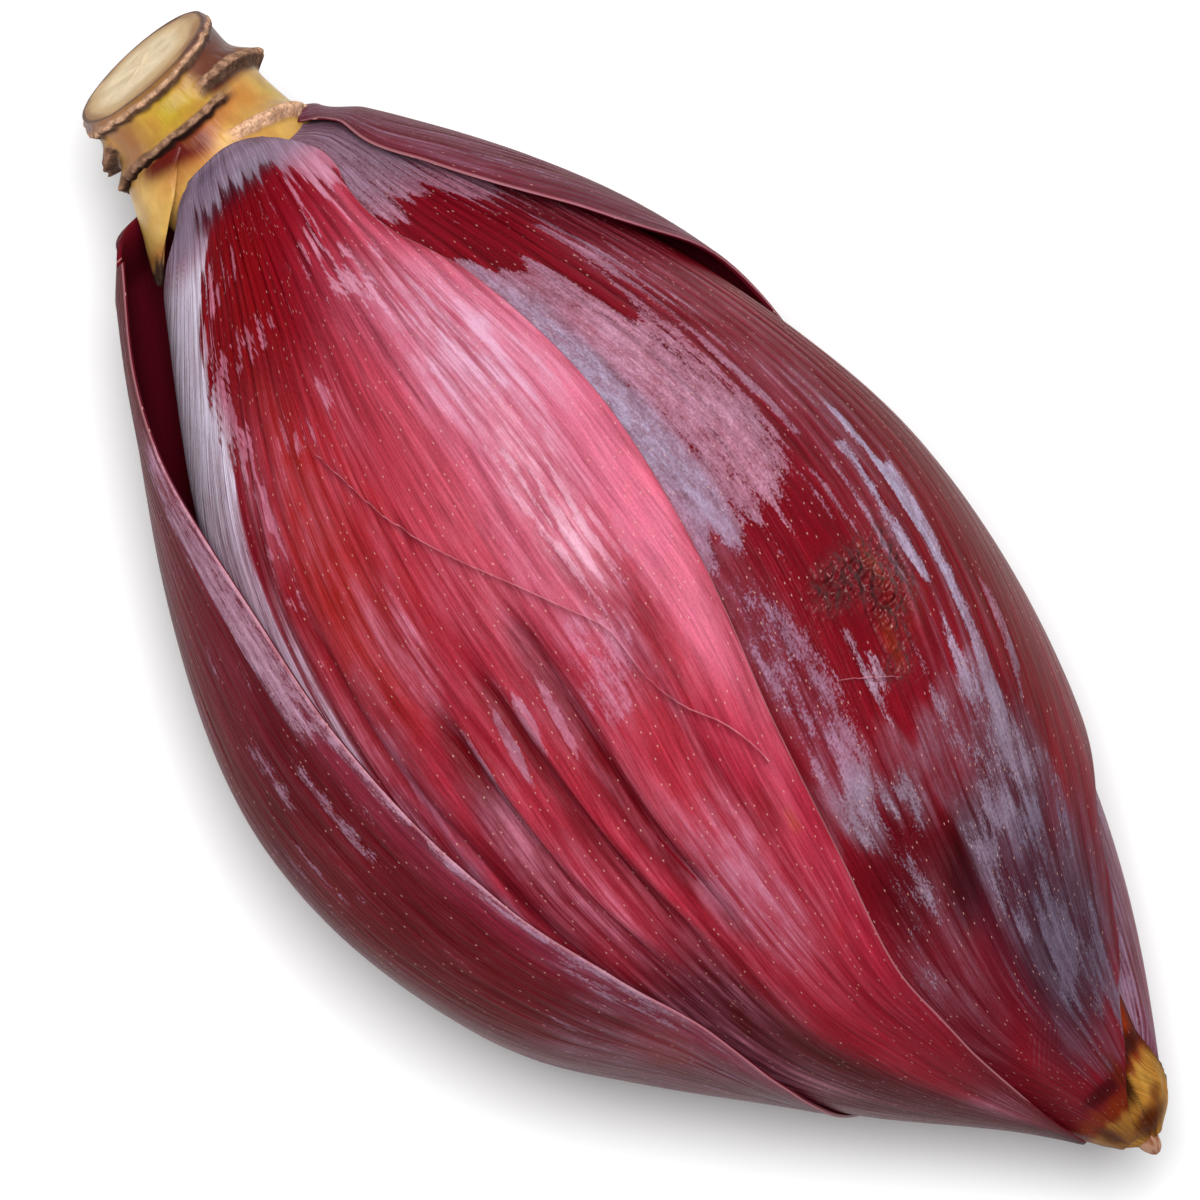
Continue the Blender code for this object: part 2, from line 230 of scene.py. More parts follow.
bump = node(tree, "ShaderNodeBump", {"Height": height, "Distance": 0.0009, "Strength": 0.9})
shader = node(tree, "ShaderNodeBsdfPrincipled", {
    "Base Color": tinted_tone, "Roughness": dull, "Normal": bump, "IOR": 1.42,
    "Specular IOR Level": 0.22})
node(tree, "ShaderNodeOutputMaterial", (shader,))

# Fresh-cut stalk, dried on top: cream pith with the darker ends of its fibres, about 0.9 mm apart.
cut_pith, tree = new_material("cut_stalk_pith")
place = node(tree, "ShaderNodeTexCoord").outputs["Object"]
tint = node(tree, "ShaderNodeAttribute", attribute_name="tint")
flat = node(tree, "ShaderNodeMapping", {"Vector": place, "Scale": (0.45, 1, 1)})
ends = node(tree, "ShaderNodeTexVoronoi", {"Vector": flat, "Scale": 1150.0, "Randomness": 1.0})
ends = node(tree, "ShaderNodeMapRange", (ends, 0.12, 0.3, 0.93, 1.0))
cloud = node(tree, "ShaderNodeTexNoise", {"Vector": place, "Scale": 300.0, "Detail": 6.0, "Roughness": 0.68})
cloud = node(tree, "ShaderNodeMapRange", (cloud, 0.35, 0.65, 0.88, 1.06))
tone = node(tree, "ShaderNodeMath", (ends, cloud), operation="MULTIPLY")
tinted_tone = node(tree, "ShaderNodeVectorMath", {0: tint, "Scale": tone}, operation="SCALE")
bump = node(tree, "ShaderNodeBump", {"Height": tone, "Distance": 0.0004, "Strength": 0.7})
shader = node(tree, "ShaderNodeBsdfPrincipled", {
    "Base Color": tinted_tone, "Roughness": 0.72, "Normal": bump})
node(tree, "ShaderNodeOutputMaterial", (shader,))

STEM_PROFILE = curve(((0, 12.9), (3, 12.9), (7, 12.8), (12, 13.3), (16, 13.6), (22, 14.2), (30, 13.9),
                      (50, 12.9)))
STEM_END = 50.0
CUT_SLANT = 3.7            # the knife went through a little askew
STEM_SIDES = 288
# Each scar: its crest round the stem (turn, along), its height (turn, mm), its run on the cut side and on the
# steep side, how much painted shadow lies on the steep side under its lip, and how brown its crest.
SCARS = (
    (((-180, -2.4), (-120, -0.6), (-90, 2.1), (-39, 3.9), (-6, 4.9), (17, 4.7), (42, 3.7), (72, 2.2),
      (120, -0.6), (180, -2.4)),
     ((-180, 0.8), (-100, 1.0), (-55, 1.2), (0, 1.4), (40, 1.2), (75, 0.7), (180, 0.8)),
     0.9, 0.9, 0.8, 0.3),
    (((-20, 10.5), (8, 9.7), (20, 9.1), (50, 9.3), (80, 10.6), (150, 12.5), (180, 13.0)),
     ((12, 0.0), (24, 0.8), (38, 1.6), (60, 2.2), (90, 2.7), (130, 2.2), (158, 0.0)),
     2.6, 1.2, 0.75, 0.6),
    (((-125, 15.5), (-100, 13.6), (-80, 12.1), (-44, 11.7), (-13, 12.1), (8, 12.5), (36, 12.5), (44, 12.6)),
     ((-125, 0.0), (-100, 2.6), (-80, 2.8), (-45, 2.5), (-20, 2.1), (0, 1.3), (22, 0.8), (40, 0.0)),
     1.9, 0.9, 1.0, 0.75),
    (((-160, 8.5), (-100, 8.6), (-85, 7.6), (-70, 6.4), (-60, 5.8)),
     ((-160, 0.0), (-130, 2.0), (-92, 2.9), (-78, 1.8), (-64, 0.0)),
     2.0, 1.0, 0.7, 0.8),
    (((0, 17.0), (10, 17.8), (22, 18.5), (38, 19.3), (54, 20.4), (72, 22.0), (95, 23.5)),
     ((6, 0.0), (16, 0.8), (38, 1.5), (60, 1.9), (80, 1.5), (95, 0.0)),
     1.6, 1.3, 0.2, 0.0),
    (((100, 19.0), (140, 21.0), (180, 23.0), (260, 21.0)), ((100, 0.0), (130, 1.4), (175, 1.4), (180, 1.0)),
     1.4, 0.9, 0.6, 0.5),
)


def stem_surface(along, turn):
    """Radius of the stem with its scars, where it is cork, how brown, and how much painted shadow lies on the
    scars' steep sides under their lips.
    """
    ragged = lumps(turn / 360 * 64, along * 0.3, 1) - 0.5
    fine = lumps(turn / 360 * 128, along * 1.1, 2) - 0.5
    radius = STEM_PROFILE(along) + 0.35 * (lumps(turn / 360 * 8 + 8, along * 0.12, 3, wrap=8) - 0.5)
    cork_share = np.zeros(np.broadcast(along, turn).shape)
    lip_shadow_share = np.zeros_like(cork_share)
    brown_share = np.zeros_like(cork_share)
    for crest, tall, near, steep, dark, brown in SCARS:
        first, last = tall[0][0], tall[-1][0]
        inside = (turn >= first) & (turn <= last)
        height = np.where(inside, curve(tall)(turn), 0.0).clip(0.0) * (1.0 + 0.4 * ragged + 0.2 * fine)
        past = along - curve(crest)(turn) - 0.5 * ragged - 0.12 * fine
        ridge = np.where(past < 0, hill(past, near), hill(past, steep))
        present = smooth(height / 0.9)
        radius = radius + height * ridge
        rolled = present * smooth((past + 0.45 + near * 0.25) / 0.35) * smooth((steep * 1.5 - past) / 0.6)
        brown_share = np.where(rolled > cork_share, brown, brown_share)
        cork_share = np.maximum(cork_share, rolled)
        # Painted shadow: the steep side under each lip is darkened where shade falls.
        steep_side = smooth((past - 0.15) / 0.35) * smooth(steep * 2.1 - past)
        lip_shadow_share = np.maximum(lip_shadow_share, dark * present * steep_side)
    radius = radius + cork_share * 0.45 * fine
    return radius, cork_share, brown_share, lip_shadow_share


def stem_tint(along, turn, cork_share=0.0, brown_share=0.0, lip_shadow_share=0.0):
    """Green-yellow where it was in the light, and purple-brown, red and orange round old bract roots."""
    cloud = lumps(turn / 360 * 32 + 32, along * 0.35, 4, wrap=32)
    upper = fall(along, 13.0, 2.2)
    past_third = rise(along, 12.0, 1.4)
    skin = tinted(
        "#be8f4a",
        (0.95 * smooth((curve(SCARS[0][0])(turn) - along - 0.2) / 0.5), "#8e5e30"),
        (0.8 * hill(turn + 12, 30) * upper * smooth((along - curve(SCARS[0][0])(turn)) / 0.8), "#bf9438"),
        (0.9 * hill(turn + 6 - 2.5 * (along - 8), 16) * hill(along - 8.6, 2.6), "#b29a22"),
        (0.97 * smooth((turn - 14 - 2 * cloud) / 14) * fall(turn, 150, 40) * upper, "#5c2c22"),
        (0.5 * hill(turn - 26, 12) * hill(along - 6.0, 2.0), "#845444"),
        (0.8 * hill(turn + 50, 18) * upper, "#9a6644"),
        (0.8 * smooth((-turn - 62) / 20) * upper, "#5e3a30"),
        (past_third * rise(turn, -115, 30) * fall(turn, 100, 30), "#d2a456"),
        (0.75 * hill(turn - 30, 22) * hill(along - 12.8, 2.6) * past_third, "#9c4e20"),
        (0.7 * hill(turn - 46, 12) * hill(along - 15.6, 2.6), "#b8752f"),
        (0.8 * hill(turn - 70, 14) * hill(along - 16.5, 4.5), "#bda033"),
        (0.92 * hill(turn + 8, 28) * hill(along - 15.0, 4.2) * past_third, "#983014"),
        (rise(turn, -64, 18) * fall(turn, 8, 18) * rise(along, 12.2, 0.8)
         * smooth((19.0 + 0.05 * turn - along) / 3.0), "#5e150f"),
        (0.7 * hill(turn - 12, 10) * hill(along - 18.5, 1.8), "#e6bd68"),
        (0.5 * hill(turn + 68, 16) * hill(along - 17.0, 3.0), "#dfbc76"),
        (0.3 * smooth((cloud - 0.5) / 0.3) * rise(along, 4, 4), "#9a5a2c"),
        (0.75 * smooth((np.abs(turn) - 110) / 40), "#8a5a3c"),
    )
    flaky = smooth((lumps(turn / 360 * 128, along * 1.1, 6) - 0.35) / 0.4)
    bark = tinted("#f2c09c", (0.36 * flaky, "#94603c"), (0.85 * brown_share, "#5a3320"),
                  (0.5 * brown_share * flaky, "#2c1710"))
    skin = tinted(skin, (cork_share, bark))
    # Painted shadow on the steep sides under the scars' lips.
    return tinted(skin, (lip_shadow_share, "#2a120b"))


def ring_faces(rings, sides):
    """Quads between rings of points that follow one another."""
    j, i = np.mgrid[0:rings - 1, 0:sides]
    k = (i + 1) % sides
    quads = np.stack((j * sides + i, j * sides + k, (j + 1) * sides + k, (j + 1) * sides + i), axis=-1)
    return quads.reshape(-1, 4).tolist()


def end_faces(rings, sides):
    """One flat face over the first ring and one over the last."""
    return [tuple(range(sides)), tuple(range((rings - 1) * sides, rings * sides))]


def build_stem():
    """The cut face in rings from its middle to its rim, then the scarred side, closed inside the bud."""
    turn = np.linspace(-180.0, 180.0, STEM_SIDES, endpoint=False)[None, :]
    inward = np.linspace(0.04, 0.985, 34)[:, None]
    lean = CUT_SLANT * np.cos(np.radians(turn))
    rim_radius, *_ = stem_surface(lean + 0.1, turn)
    saw = 0.3 * (lumps(turn / 360 * 16, inward * 6, 7, wrap=16) - 0.5) + 0.4 * rise(inward, 0.86, 0.14)
    face_points = spot(lean * inward + saw - 0.3, turn, rim_radius * inward, rim_radius * inward)
    uneven = 0.16 * (lumps(turn / 360 * 16, inward * 3, 2, wrap=16) - 0.5)
    stains = lumps(turn / 360 * 16, inward * 5, 5, wrap=16)
    face_tint = tinted("#e9d2aa", (0.75 * smooth((inward - 0.5 - uneven) / 0.3), "#c49a60"),
                       (0.8 * smooth((inward - 0.78 - uneven) / 0.16), "#8f5c2c"),
                       (0.35 * smooth((stains - 0.5) / 0.3), "#c9a878"),
                       (rise(inward, 0.93, 0.04), "#4e2c17"))

    places = np.concatenate((np.linspace(0.0, 27.0, 125), np.linspace(28.5, STEM_END, 12)))[:, None]
    along = places + lean * (1.0 - smooth(places / 24.0))
    radius, cork_share, brown_share, lip_shadow_share = stem_surface(along, turn)
    side_points = spot(along, turn, radius, radius)
    side_tint = stem_tint(along, turn, cork_share, brown_share, lip_shadow_share)

    points = np.concatenate((face_points, side_points))
    rings = len(points)
    faces = ring_faces(rings, STEM_SIDES)
    slots = [1 if n < (len(inward) - 1) * STEM_SIDES else 0 for n in range(len(faces))]
    flat = points.reshape(-1, 3)
    middle, end = len(flat), len(flat) + 1
    flat = np.concatenate((flat, points[0].mean(0)[None], points[-1].mean(0)[None]))
    last = (rings - 1) * STEM_SIDES
    for i in range(STEM_SIDES):
        k = (i + 1) % STEM_SIDES
        faces.append((middle, k, i))
        faces.append((last + i, last + k, end))
        slots += [1, 0]
    tint_values = np.concatenate((face_tint.reshape(-1, 3), side_tint.reshape(-1, 3),
                                  colour("#ead4ae")[None], colour("#c49a55")[None]))
    cork_values = np.concatenate((np.zeros(face_points.size // 3), cork_share.ravel(), [0.0, 0.0]))
    return plain_mesh("cut_stem", flat, faces, (stem_skin, cut_pith), slots, tint=tint_values,
                      cork=cork_values)


def build_sheath_strip():
    """A narrow strip of an old sheath: fleshy at the stem, dried and dark at its end."""
    sides, rings = 56, 70
    root, length, middle_turn = 11.4, 16.6, -87.0
    v = np.linspace(0.0, 1.0, rings)[:, None]
    angle = np.linspace(0.0, 2.0 * np.pi, sides, endpoint=False)[None, :]
    along = root + length * v
    wide = 1.0 + 15.0 * (1.0 - v ** 1.9)
    thick = 2.2 * (1.0 - v) ** 1.2 + 0.9
    out = 14.3 + 8.2 * v - thick
    close = np.sqrt(np.clip(1.0 - ((v - 0.93) / 0.072).clip(0.0, 1.0) ** 2, 0.02, 1.0))
    fibre = 1.0 + 0.07 * (lumps(angle / np.pi * 8, v * 6, 3, wrap=16) - 0.5) * (1 + 4 * v)
    turn = middle_turn + 3.0 * v + np.degrees(wide * close * fibre * np.cos(angle) / out)
    flat_side = np.sin(angle) * np.abs(np.sin(angle)) ** (0.8 * (1.0 - v))
    size = out + thick * close * fibre * flat_side
    points = spot(along, turn, size, size)
    dried = smooth((v - 0.82 + 0.12 * lumps(angle / np.pi * 8, v * 5, 1, wrap=16)) / 0.12)
    tint = tinted(stem_tint(along, turn), (0.7 * rise(v, 0.35, 0.25), "#cda558"),
                  (0.6 * hill(v - 0.78, 0.08), "#9a4a26"), (dried, "#4a3328"))
    faces = ring_faces(rings, sides) + end_faces(rings, sides)
    return plain_mesh("old_sheath_strip", points, faces, (stem_skin,), tint=tint, cork=dried)


cut_stem = build_stem()
sheath_strip = build_sheath_strip()
for piece in (cut_stem, sheath_strip):
    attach(piece, "root")
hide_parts("stem")


# ---- Bract skin, and the youngest bracts closed into the inner bud ---------------------------------------
# The heart of the blossom: bracts too young to part, wrapped tight into one pointed body that grows from the
# end of the stem. Its bare beige nub shows past the tips of the outer bracts.

# Half the width of the blossom, at places along it, and how high it is for its width
HALF_WIDTH = ((19, 14.8), (34, 25.6), (68, 44.8), (105, 55.2), (130, 57.3), (165, 50.8), (200, 32.8),
              (231, 9.9), (240, 4.4))
HEIGHT_RATIO = 0.92
ROOT_RADIUS = 14.9
TIP_REACH = 65.0           # layers close up over this length before the tip
FAR_OFF = 9.0              # stands for any distance too far from a margin or a crease to show it
half_width = curve(HALF_WIDTH)


def pitch(along):
    """From the outside of one bract to the outside of the next."""
    return 1.0 + 1.4 * smooth((LENGTH - along) / TIP_REACH)


def thickness(along):
    """Of a bract away from its margins, which leaves a gap to the next one."""
    return pitch(along) - (0.45 + 0.27 * smooth((LENGTH - along) / TIP_REACH))


def reach(along, offset, root_along, root_length=8.0, root_radius=ROOT_RADIUS, held=1.0):
    """Half-width and half-height of a layer `offset` outside the front bract, drawn in to the stem at its
    root."""
    wide = half_width(along) + offset
    round_end = rise(along, 25.0, 40.0) * smooth((LENGTH - along) / 30.0)
    high = half_width(along) * (1.0 - (1.0 - HEIGHT_RATIO) * round_end) + offset
    share = 1.0 - held * (1.0 - smooth((along - root_along) / root_length))
    return root_radius + (wide - root_radius) * share, root_radius + (high - root_radius) * share


def bract_material(name, ragged=1.0, powdery=0.5, speck=0.5, veil=0.8, gloss=0.36):
    """Living bract skin under its wax bloom.

    The flesh is smooth and half-gloss, and veined from root to tip. `haze` on the mesh is how much thin wax
    dulls it, and `bloom` where the wax is still a thick lavender powder with torn edges: `ragged` says how
    torn, `powdery` how grainy, `veil` how well it hides the flesh, and `speck` how many pale flecks lie on
    it. Fine veins are 0.5 mm apart, coarse ones 1.8 mm, and wax grains 0.4 mm. The UV map runs across and
    along the veins, 100 mm to the unit.
    """
    math_node, to_range = "ShaderNodeMath", "ShaderNodeMapRange"
    material, tree = new_material(name)
    veins = node(tree, "ShaderNodeUVMap", uv_map="veins")
    flesh = node(tree, "ShaderNodeAttribute", attribute_name="flesh")
    wax = node(tree, "ShaderNodeAttribute", attribute_name="wax")
    bloom, haze, rim, crease, scab = (node(tree, "ShaderNodeAttribute", attribute_name=layer).outputs["Fac"]
                                      for layer in ("bloom", "haze", "rim", "crease", "scab"))
    # Each noise: its waves in 100 mm across and along the veins, its detail, and its roughness
    fine, coarse, blot, grain, scuff = (
        node(tree, "ShaderNodeTexNoise", {
            "Vector": node(tree, "ShaderNodeMapping", {"Vector": veins, "Scale": (across, along, 1.0)}),
            "Scale": 1.0, "Detail": detail, "Roughness": rough}, noise_dimensions="2D")
        for across, along, detail, rough in ((200, 9, 3.0, 0.6), (50, 4, 4.0, 0.55), (15, 9, 5.0, 0.62),
                                             (240, 180, 3.0, 0.6), (70, 26, 5.0, 0.7)))

    # Wax lies where the bloom and the noise together pass a level, so that its edge is torn along the veins
    torn, level = bloom, 0.0
    for noise, share in ((coarse, 0.45 * ragged), (blot, 0.6 * ragged), (scuff, 0.8 * ragged),
                         (fine, 0.35 * ragged), (grain, 0.8 * powdery)):
        torn = node(tree, math_node, (noise, share, torn), operation="MULTIPLY_ADD")
        level += 0.5 * share
    cover = node(tree, to_range, (torn, level + 0.40, level + 0.58, 0.0, 1.0),
                 interpolation_type="SMOOTHSTEP")
    thick = node(tree, to_range, (torn, level + 0.5, level + 1.0, 0.6, 1.0))

    tone = node(tree, to_range, (fine, 0.3, 0.7, 0.74, 1.18))
    for noise, low, high in ((coarse, 0.78, 1.14), (grain, 0.88, 1.08)):
        more = node(tree, to_range, (noise, 0.3, 0.7, low, high))
        tone = node(tree, math_node, (tone, more), operation="MULTIPLY")
    flesh = node(tree, "ShaderNodeVectorMath", {0: flesh, "Scale": tone}, operation="SCALE")
    powder = node(tree, to_range, (grain, 0.3, 0.7, 1.0 - 0.2 * powdery, 1.0 + 0.2 * powdery))
    for noise, edge, low, high in ((coarse, 0.3, 0.88, 1.08),
                                   (scuff, 0.35, 1.0 - 0.12 * powdery, 1.0 + 0.12 * powdery)):
        more = node(tree, to_range, (noise, edge, 1.0 - edge, low, high))
        powder = node(tree, math_node, (powder, more), operation="MULTIPLY")
    wax = node(tree, "ShaderNodeVectorMath", {0: wax, "Scale": powder}, operation="SCALE")
    thin = haze
    for noise, edge, low, high in ((coarse, 0.35, 0.25, 1.6), (blot, 0.35, 0.5, 1.4), (fine, 0.3, 0.6, 1.3)):
        more = node(tree, to_range, (noise, edge, 1.0 - edge, low, high))
        thin = node(tree, math_node, (thin, more), operation="MULTIPLY")
    scuffed = node(tree, to_range, (scuff, 0.35, 0.65, veil - 0.25, veil))
    thick = node(tree, math_node, (thick, scuffed), operation="MULTIPLY")
    thick = node(tree, math_node, (thick, cover), operation="MULTIPLY")

    spread_out = node(tree, "ShaderNodeMapping", {"Vector": veins, "Scale": (80, 40, 1.0)})
    flecks = node(tree, "ShaderNodeTexVoronoi", {"Vector": spread_out, "Scale": 1.0, "Randomness": 1.0},
                  voronoi_dimensions="2D")
    near = node(tree, to_range, (flecks, 0.04, 0.11, 1.0, 0.0))
    chosen = node(tree, "ShaderNodeSeparateColor", (flecks.outputs["Color"],))
    chosen = node(tree, to_range, (chosen, 1.0 - 0.4 * speck, 1.02 - 0.4 * speck, 0.0, 0.55))
    fleck = node(tree, math_node, (near, chosen), operation="MULTIPLY")
    dry_rim = node(tree, to_range, (rim, 0.05, 0.34, 0.5, 0.0))
    beside = node(tree, to_range, (crease, 0.15, 1.6, 0.42, 0.0), interpolation_type="SMOOTHSTEP")
    past = node(tree, to_range, (crease, -0.1, 0.15, 0.0, 1.0))
    shadow = node(tree, math_node, (beside, past), operation="MULTIPLY")
    off_crease = node(tree, math_node, (crease,), operation="ABSOLUTE")
    split = node(tree, to_range, (off_crease, 0.04, 0.16, 0.55, 0.0))
    broken = node(tree, to_range, (blot, 0.35, 0.6, 0.35, 1.0))
    split = node(tree, math_node, (split, broken), operation="MULTIPLY")
    spread_out = node(tree, "ShaderNodeMapping", {"Vector": veins, "Scale": (62, 75, 1.0)})
    crust = node(tree, "ShaderNodeTexVoronoi", {"Vector": spread_out, "Scale": 1.0, "Randomness": 1.0},
                 voronoi_dimensions="2D", feature="SMOOTH_F1")
    crusted = node(tree, to_range, (crust, 0.15, 0.6, 0.0, 1.0))
    crusted = node(tree, math_node, (scab, crusted), operation="MULTIPLY")
    crust_tint = node(tree, math_node, (crusted, 0.75), operation="MULTIPLY")
    skin = flesh.outputs[0]
    for share, coat in ((thin, wax), (thick, wax), (fleck, "#dfae9f"), (dry_rim, "#c48a92"),
                        (shadow, "#4a0a18"), (split, "#d88a98"), (crust_tint, "#3c0608")):
        skin = node(tree, "ShaderNodeMix", {0: share, 6: skin, 7: coat}, data_type="RGBA").outputs[2]

    relief = node(tree, math_node, (coarse, 0.8), operation="MULTIPLY")
    for noise, share in ((fine, 0.3), (crusted, -3.5), (grain, 0.12 * powdery), (cover, 0.08)):
        relief = node(tree, math_node, (noise, share, relief), operation="MULTIPLY_ADD")
    bump = node(tree, "ShaderNodeBump", {"Height": relief, "Distance": 0.0005, "Strength": 0.9})
    rough = node(tree, to_range, (cover, 0.0, 1.0, gloss, 0.6))
    mirror = node(tree, to_range, (scab, 0.0, 1.0, 0.05, 0.6))
    shader = node(tree, "ShaderNodeBsdfPrincipled", {
        "Base Color": skin, "Roughness": rough, "Normal": bump, "IOR": 1.42,
        "Specular IOR Level": mirror})
    node(tree, "ShaderNodeOutputMaterial", (shader,))
    return material


# Young skin: soft and even, with hardly any bloom yet
heart_skin = bract_material("young_bract_skin", ragged=0.9, speck=0.3, veil=0.6)


def build_inner_bud():
    """A ribbed body of rings, narrower beside the flowers, that ends in a bare nub."""
    sides, start, nub_start, nub_radius = 160, STEM_END + 0.5, 234.0, 2.4
    places = np.concatenate((np.linspace(start, 231.0, 90), np.linspace(232.0, 240.3, 26)))[:, None]
    turn = np.linspace(0.0, 360.0, sides, endpoint=False)[None, :]
    pocket = 12.0 * fall(places, 125.0, 65.0)
    wide, high = reach(places, -4.0 * pitch(places) - pocket, STEM_END - 4.0, 26.0, 11.5)
    past_start = (places - nub_start) / (LENGTH + 0.4 - nub_start)
    nub = nub_radius * np.sqrt(np.clip(1.0 - past_start ** 2, 0.0, 1.0))
    nub = nub * (1.0 + 0.3 * (lumps(turn / 360 * 8, places * 0.5, 2, wrap=8) - 0.5))
    ribbed = 0.2 * np.sin(np.radians(turn * 9 + places * 2))
    wide = np.where(past_start > 0.0, nub, wide + ribbed)
    high = np.where(past_start > 0.0, nub, high + ribbed)
    points = spot(places, turn, wide, high)
    bare = rise(places, 232.0, 3.0)
    mottle = lumps(turn / 360 * 16, places * 0.6, 4, wrap=16)
    flesh = tinted("#a5324a", (0.5 * rise(places, 150, 60), "#c06a4a"), (bare, "#d8a488"),
                   (bare * smooth((mottle - 0.45) / 0.2), "#b87352"),
                   (bare * hill(places - 236.5, 0.7), "#6b3a22"))
    faces = ring_faces(len(places), sides) + end_faces(len(places), sides)
    veins = np.stack(np.broadcast_arrays(turn * 0.9, places), axis=-1) / 100.0
    return plain_mesh("closed_inner_bud", points, faces, (heart_skin,), flesh=flesh, wax=colour("#c98a9c"),
                      bloom=0.2 * (1 - bare), haze=0.3 * (1 - bare), rim=FAR_OFF, crease=FAR_OFF, veins=veins)


inner_bud = build_inner_bud()
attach(inner_bud, "root")
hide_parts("inner_bud")


# ---- Hands of flowers ------------------------------------------------------------------------------------
# Under each opened bract lies a hand of young flowers, cream tubes with yellow tips in one close row, grown
# to the stem at their roots.
HAND_LAYOUT = {   # node: first and last turn, root and tip along, offset of the top, thickness, flowers
    "front_floret_hand": (-95, -20, 33.0, 86.0, -3.2, 6.0, 9),
    "right_floret_hand": (38, 104, 34.0, 84.0, -5.2, 5.5, 8),
    "under_floret_hand": (154, 226, 48.5, 82.0, -14.8, 4.4, 8),
}

# Young flower: a firm waxy tube, cream with a yellow end, faintly ribbed along its length.
flower_skin, tree = new_material("waxy_cream_flower")
place = node(tree, "ShaderNodeTexCoord").outputs["Object"]
tint = node(tree, "ShaderNodeAttribute", attribute_name="tint")
stretched = node(tree, "ShaderNodeMapping", {"Vector": place, "Scale": (200, 1400, 1400)})
fine_ribs = node(tree, "ShaderNodeTexNoise", {"Vector": stretched, "Scale": 1.0, "Detail": 3.0})
tone = node(tree, "ShaderNodeMapRange", (fine_ribs, 0.3, 0.7, 0.85, 1.08))
tinted_tone = node(tree, "ShaderNodeVectorMath", {0: tint, "Scale": tone}, operation="SCALE")
bump = node(tree, "ShaderNodeBump", {"Height": fine_ribs, "Distance": 0.0004, "Strength": 0.6})
shader = node(tree, "ShaderNodeBsdfPrincipled", {
    "Base Color": tinted_tone, "Roughness": 0.42, "Normal": bump, "IOR": 1.42})
node(tree, "ShaderNodeOutputMaterial", (shader,))


def hand_tree():
    """Makes each guide a flower: a closed tube swept along it, slim at the root and pointed at its end."""
    tree = bpy.data.node_groups.new("hand_of_flowers", "GeometryNodeTree")
    for name, kind, usual in (("Geometry", "NodeSocketGeometry", None), ("Girth", "NodeSocketFloat", 0.0024),
                              ("Sides", "NodeSocketInt", 12), ("Finish", "NodeSocketMaterial", None)):
        socket = tree.interface.new_socket(name, in_out="INPUT", socket_type=kind)
        if usual is not None:
            socket.default_value = usual
    tree.interface.new_socket("Geometry", in_out="OUTPUT", socket_type="NodeSocketGeometry")
    given = node(tree, "NodeGroupInput").outputs
    curves = node(tree, "GeometryNodeMeshToCurve", {"Mesh": given["Geometry"]})
    length = node(tree, "GeometryNodeSplineParameter").outputs["Factor"]
    taper = node(tree, "ShaderNodeFloatCurve", {"Value": length})
    shape = taper.mapping.curves[0]
    shape.points[0].location = (0.0, 0.6)
    shape.points[1].location = (1.0, 0.12)
    for share, size in ((0.25, 0.82), (0.7, 1.0), (0.9, 0.72)):
        shape.points.new(share, size)
    girth = node(tree, "ShaderNodeMath", (taper, given["Girth"]), operation="MULTIPLY")
    ring = node(tree, "GeometryNodeCurvePrimitiveCircle", {"Resolution": given["Sides"], "Radius": 1.0})
    tubes = node(tree, "GeometryNodeCurveToMesh", {
        "Curve": curves, "Profile Curve": ring, "Scale": girth, "Fill Caps": True})
    real = node(tree, "GeometryNodeRealizeInstances", (tubes,))
    real = node(tree, "GeometryNodeSetMaterial", {"Geometry": real, "Material": given["Finish"]})
    node(tree, "NodeGroupOutput", {"Geometry": real})
    return tree


def baked(name, source, tree, **settings):
    """Runs a geometry tree over a mesh, with its inputs set by name, and keeps the result as a plain mesh."""
    modifier = source.modifiers.new(name, "NODES")
    modifier.node_group = tree
    for socket in tree.interface.items_tree:
        if socket.item_type == "SOCKET" and socket.in_out == "INPUT" and socket.name in settings:
            modifier[socket.identifier] = settings[socket.name]
    bpy.context.view_layer.update()
    mesh = bpy.data.meshes.new_from_object(source.evaluated_get(bpy.context.evaluated_depsgraph_get()))
    bpy.data.objects.remove(source, do_unlink=True)
    mesh.name = name
    return placed(name, mesh)


FLOWERS = hand_tree()


def build_hand(node_name, first, last, root, tip, top, thick, flowers):
    """Guides that fan out from the root of a hand, each made a flower."""
    steps = 22
    v = np.linspace(0.0, 1.0, steps)
    paths, edges = [], []
    for n in range(flowers):
        u = (n + 0.5) / flowers
        spread = 0.45 + 0.55 * rise(v, 0, 0.5)
        turn = 0.5 * (first + last) + (last - first) * (u - 0.5) * spread
        along = root + (tip - 1.5 - 3.0 * lumps(n * 1.7, 0.5, 3) - root) * v
        middle = top - 0.5 * thick
        wide, high = reach(along, middle, root, 12.0, ROOT_RADIUS + 1.1)
        paths.append(spot(along, turn, wide, high))
        edges += [(n * steps + i, n * steps + i + 1) for i in range(steps - 1)]
    mesh = bpy.data.meshes.new(node_name)
    mesh.from_pydata(np.concatenate(paths).tolist(), edges, [])
    hand = baked(node_name.replace("floret_hand", "hand_of_flowers"), placed(node_name, mesh), FLOWERS,
                 Girth=0.44 * thick * MM, Sides=12, Finish=flower_skin)
    co = np.zeros(len(hand.data.vertices) * 3, np.float32)
    hand.data.vertices.foreach_get("co", co)
    out = smooth((co[::3] / MM + MID_ALONG - root) / (tip - root))
    tint = tinted("#e9dcb4", (0.6 * rise(out, 0.6, 0.3), "#e3c25e"),
                  (0.7 * rise(out, 0.93, 0.06), "#a9793a"))
    add_layer(hand.data, "tint", tint)
    hand.data.shade_smooth()
    return hand


for node_name, layout in HAND_LAYOUT.items():
    hand = build_hand(node_name, *layout)
    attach(hand, "root")
    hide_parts(node_name)


# ---- Under bract -----------------------------------------------------------------------------------------
# A bract is one leathery boat-shaped scale, thickest in the middle, with thin margins. This one lies under
# the blossom, third in from the outside, grown to the stem by its root.

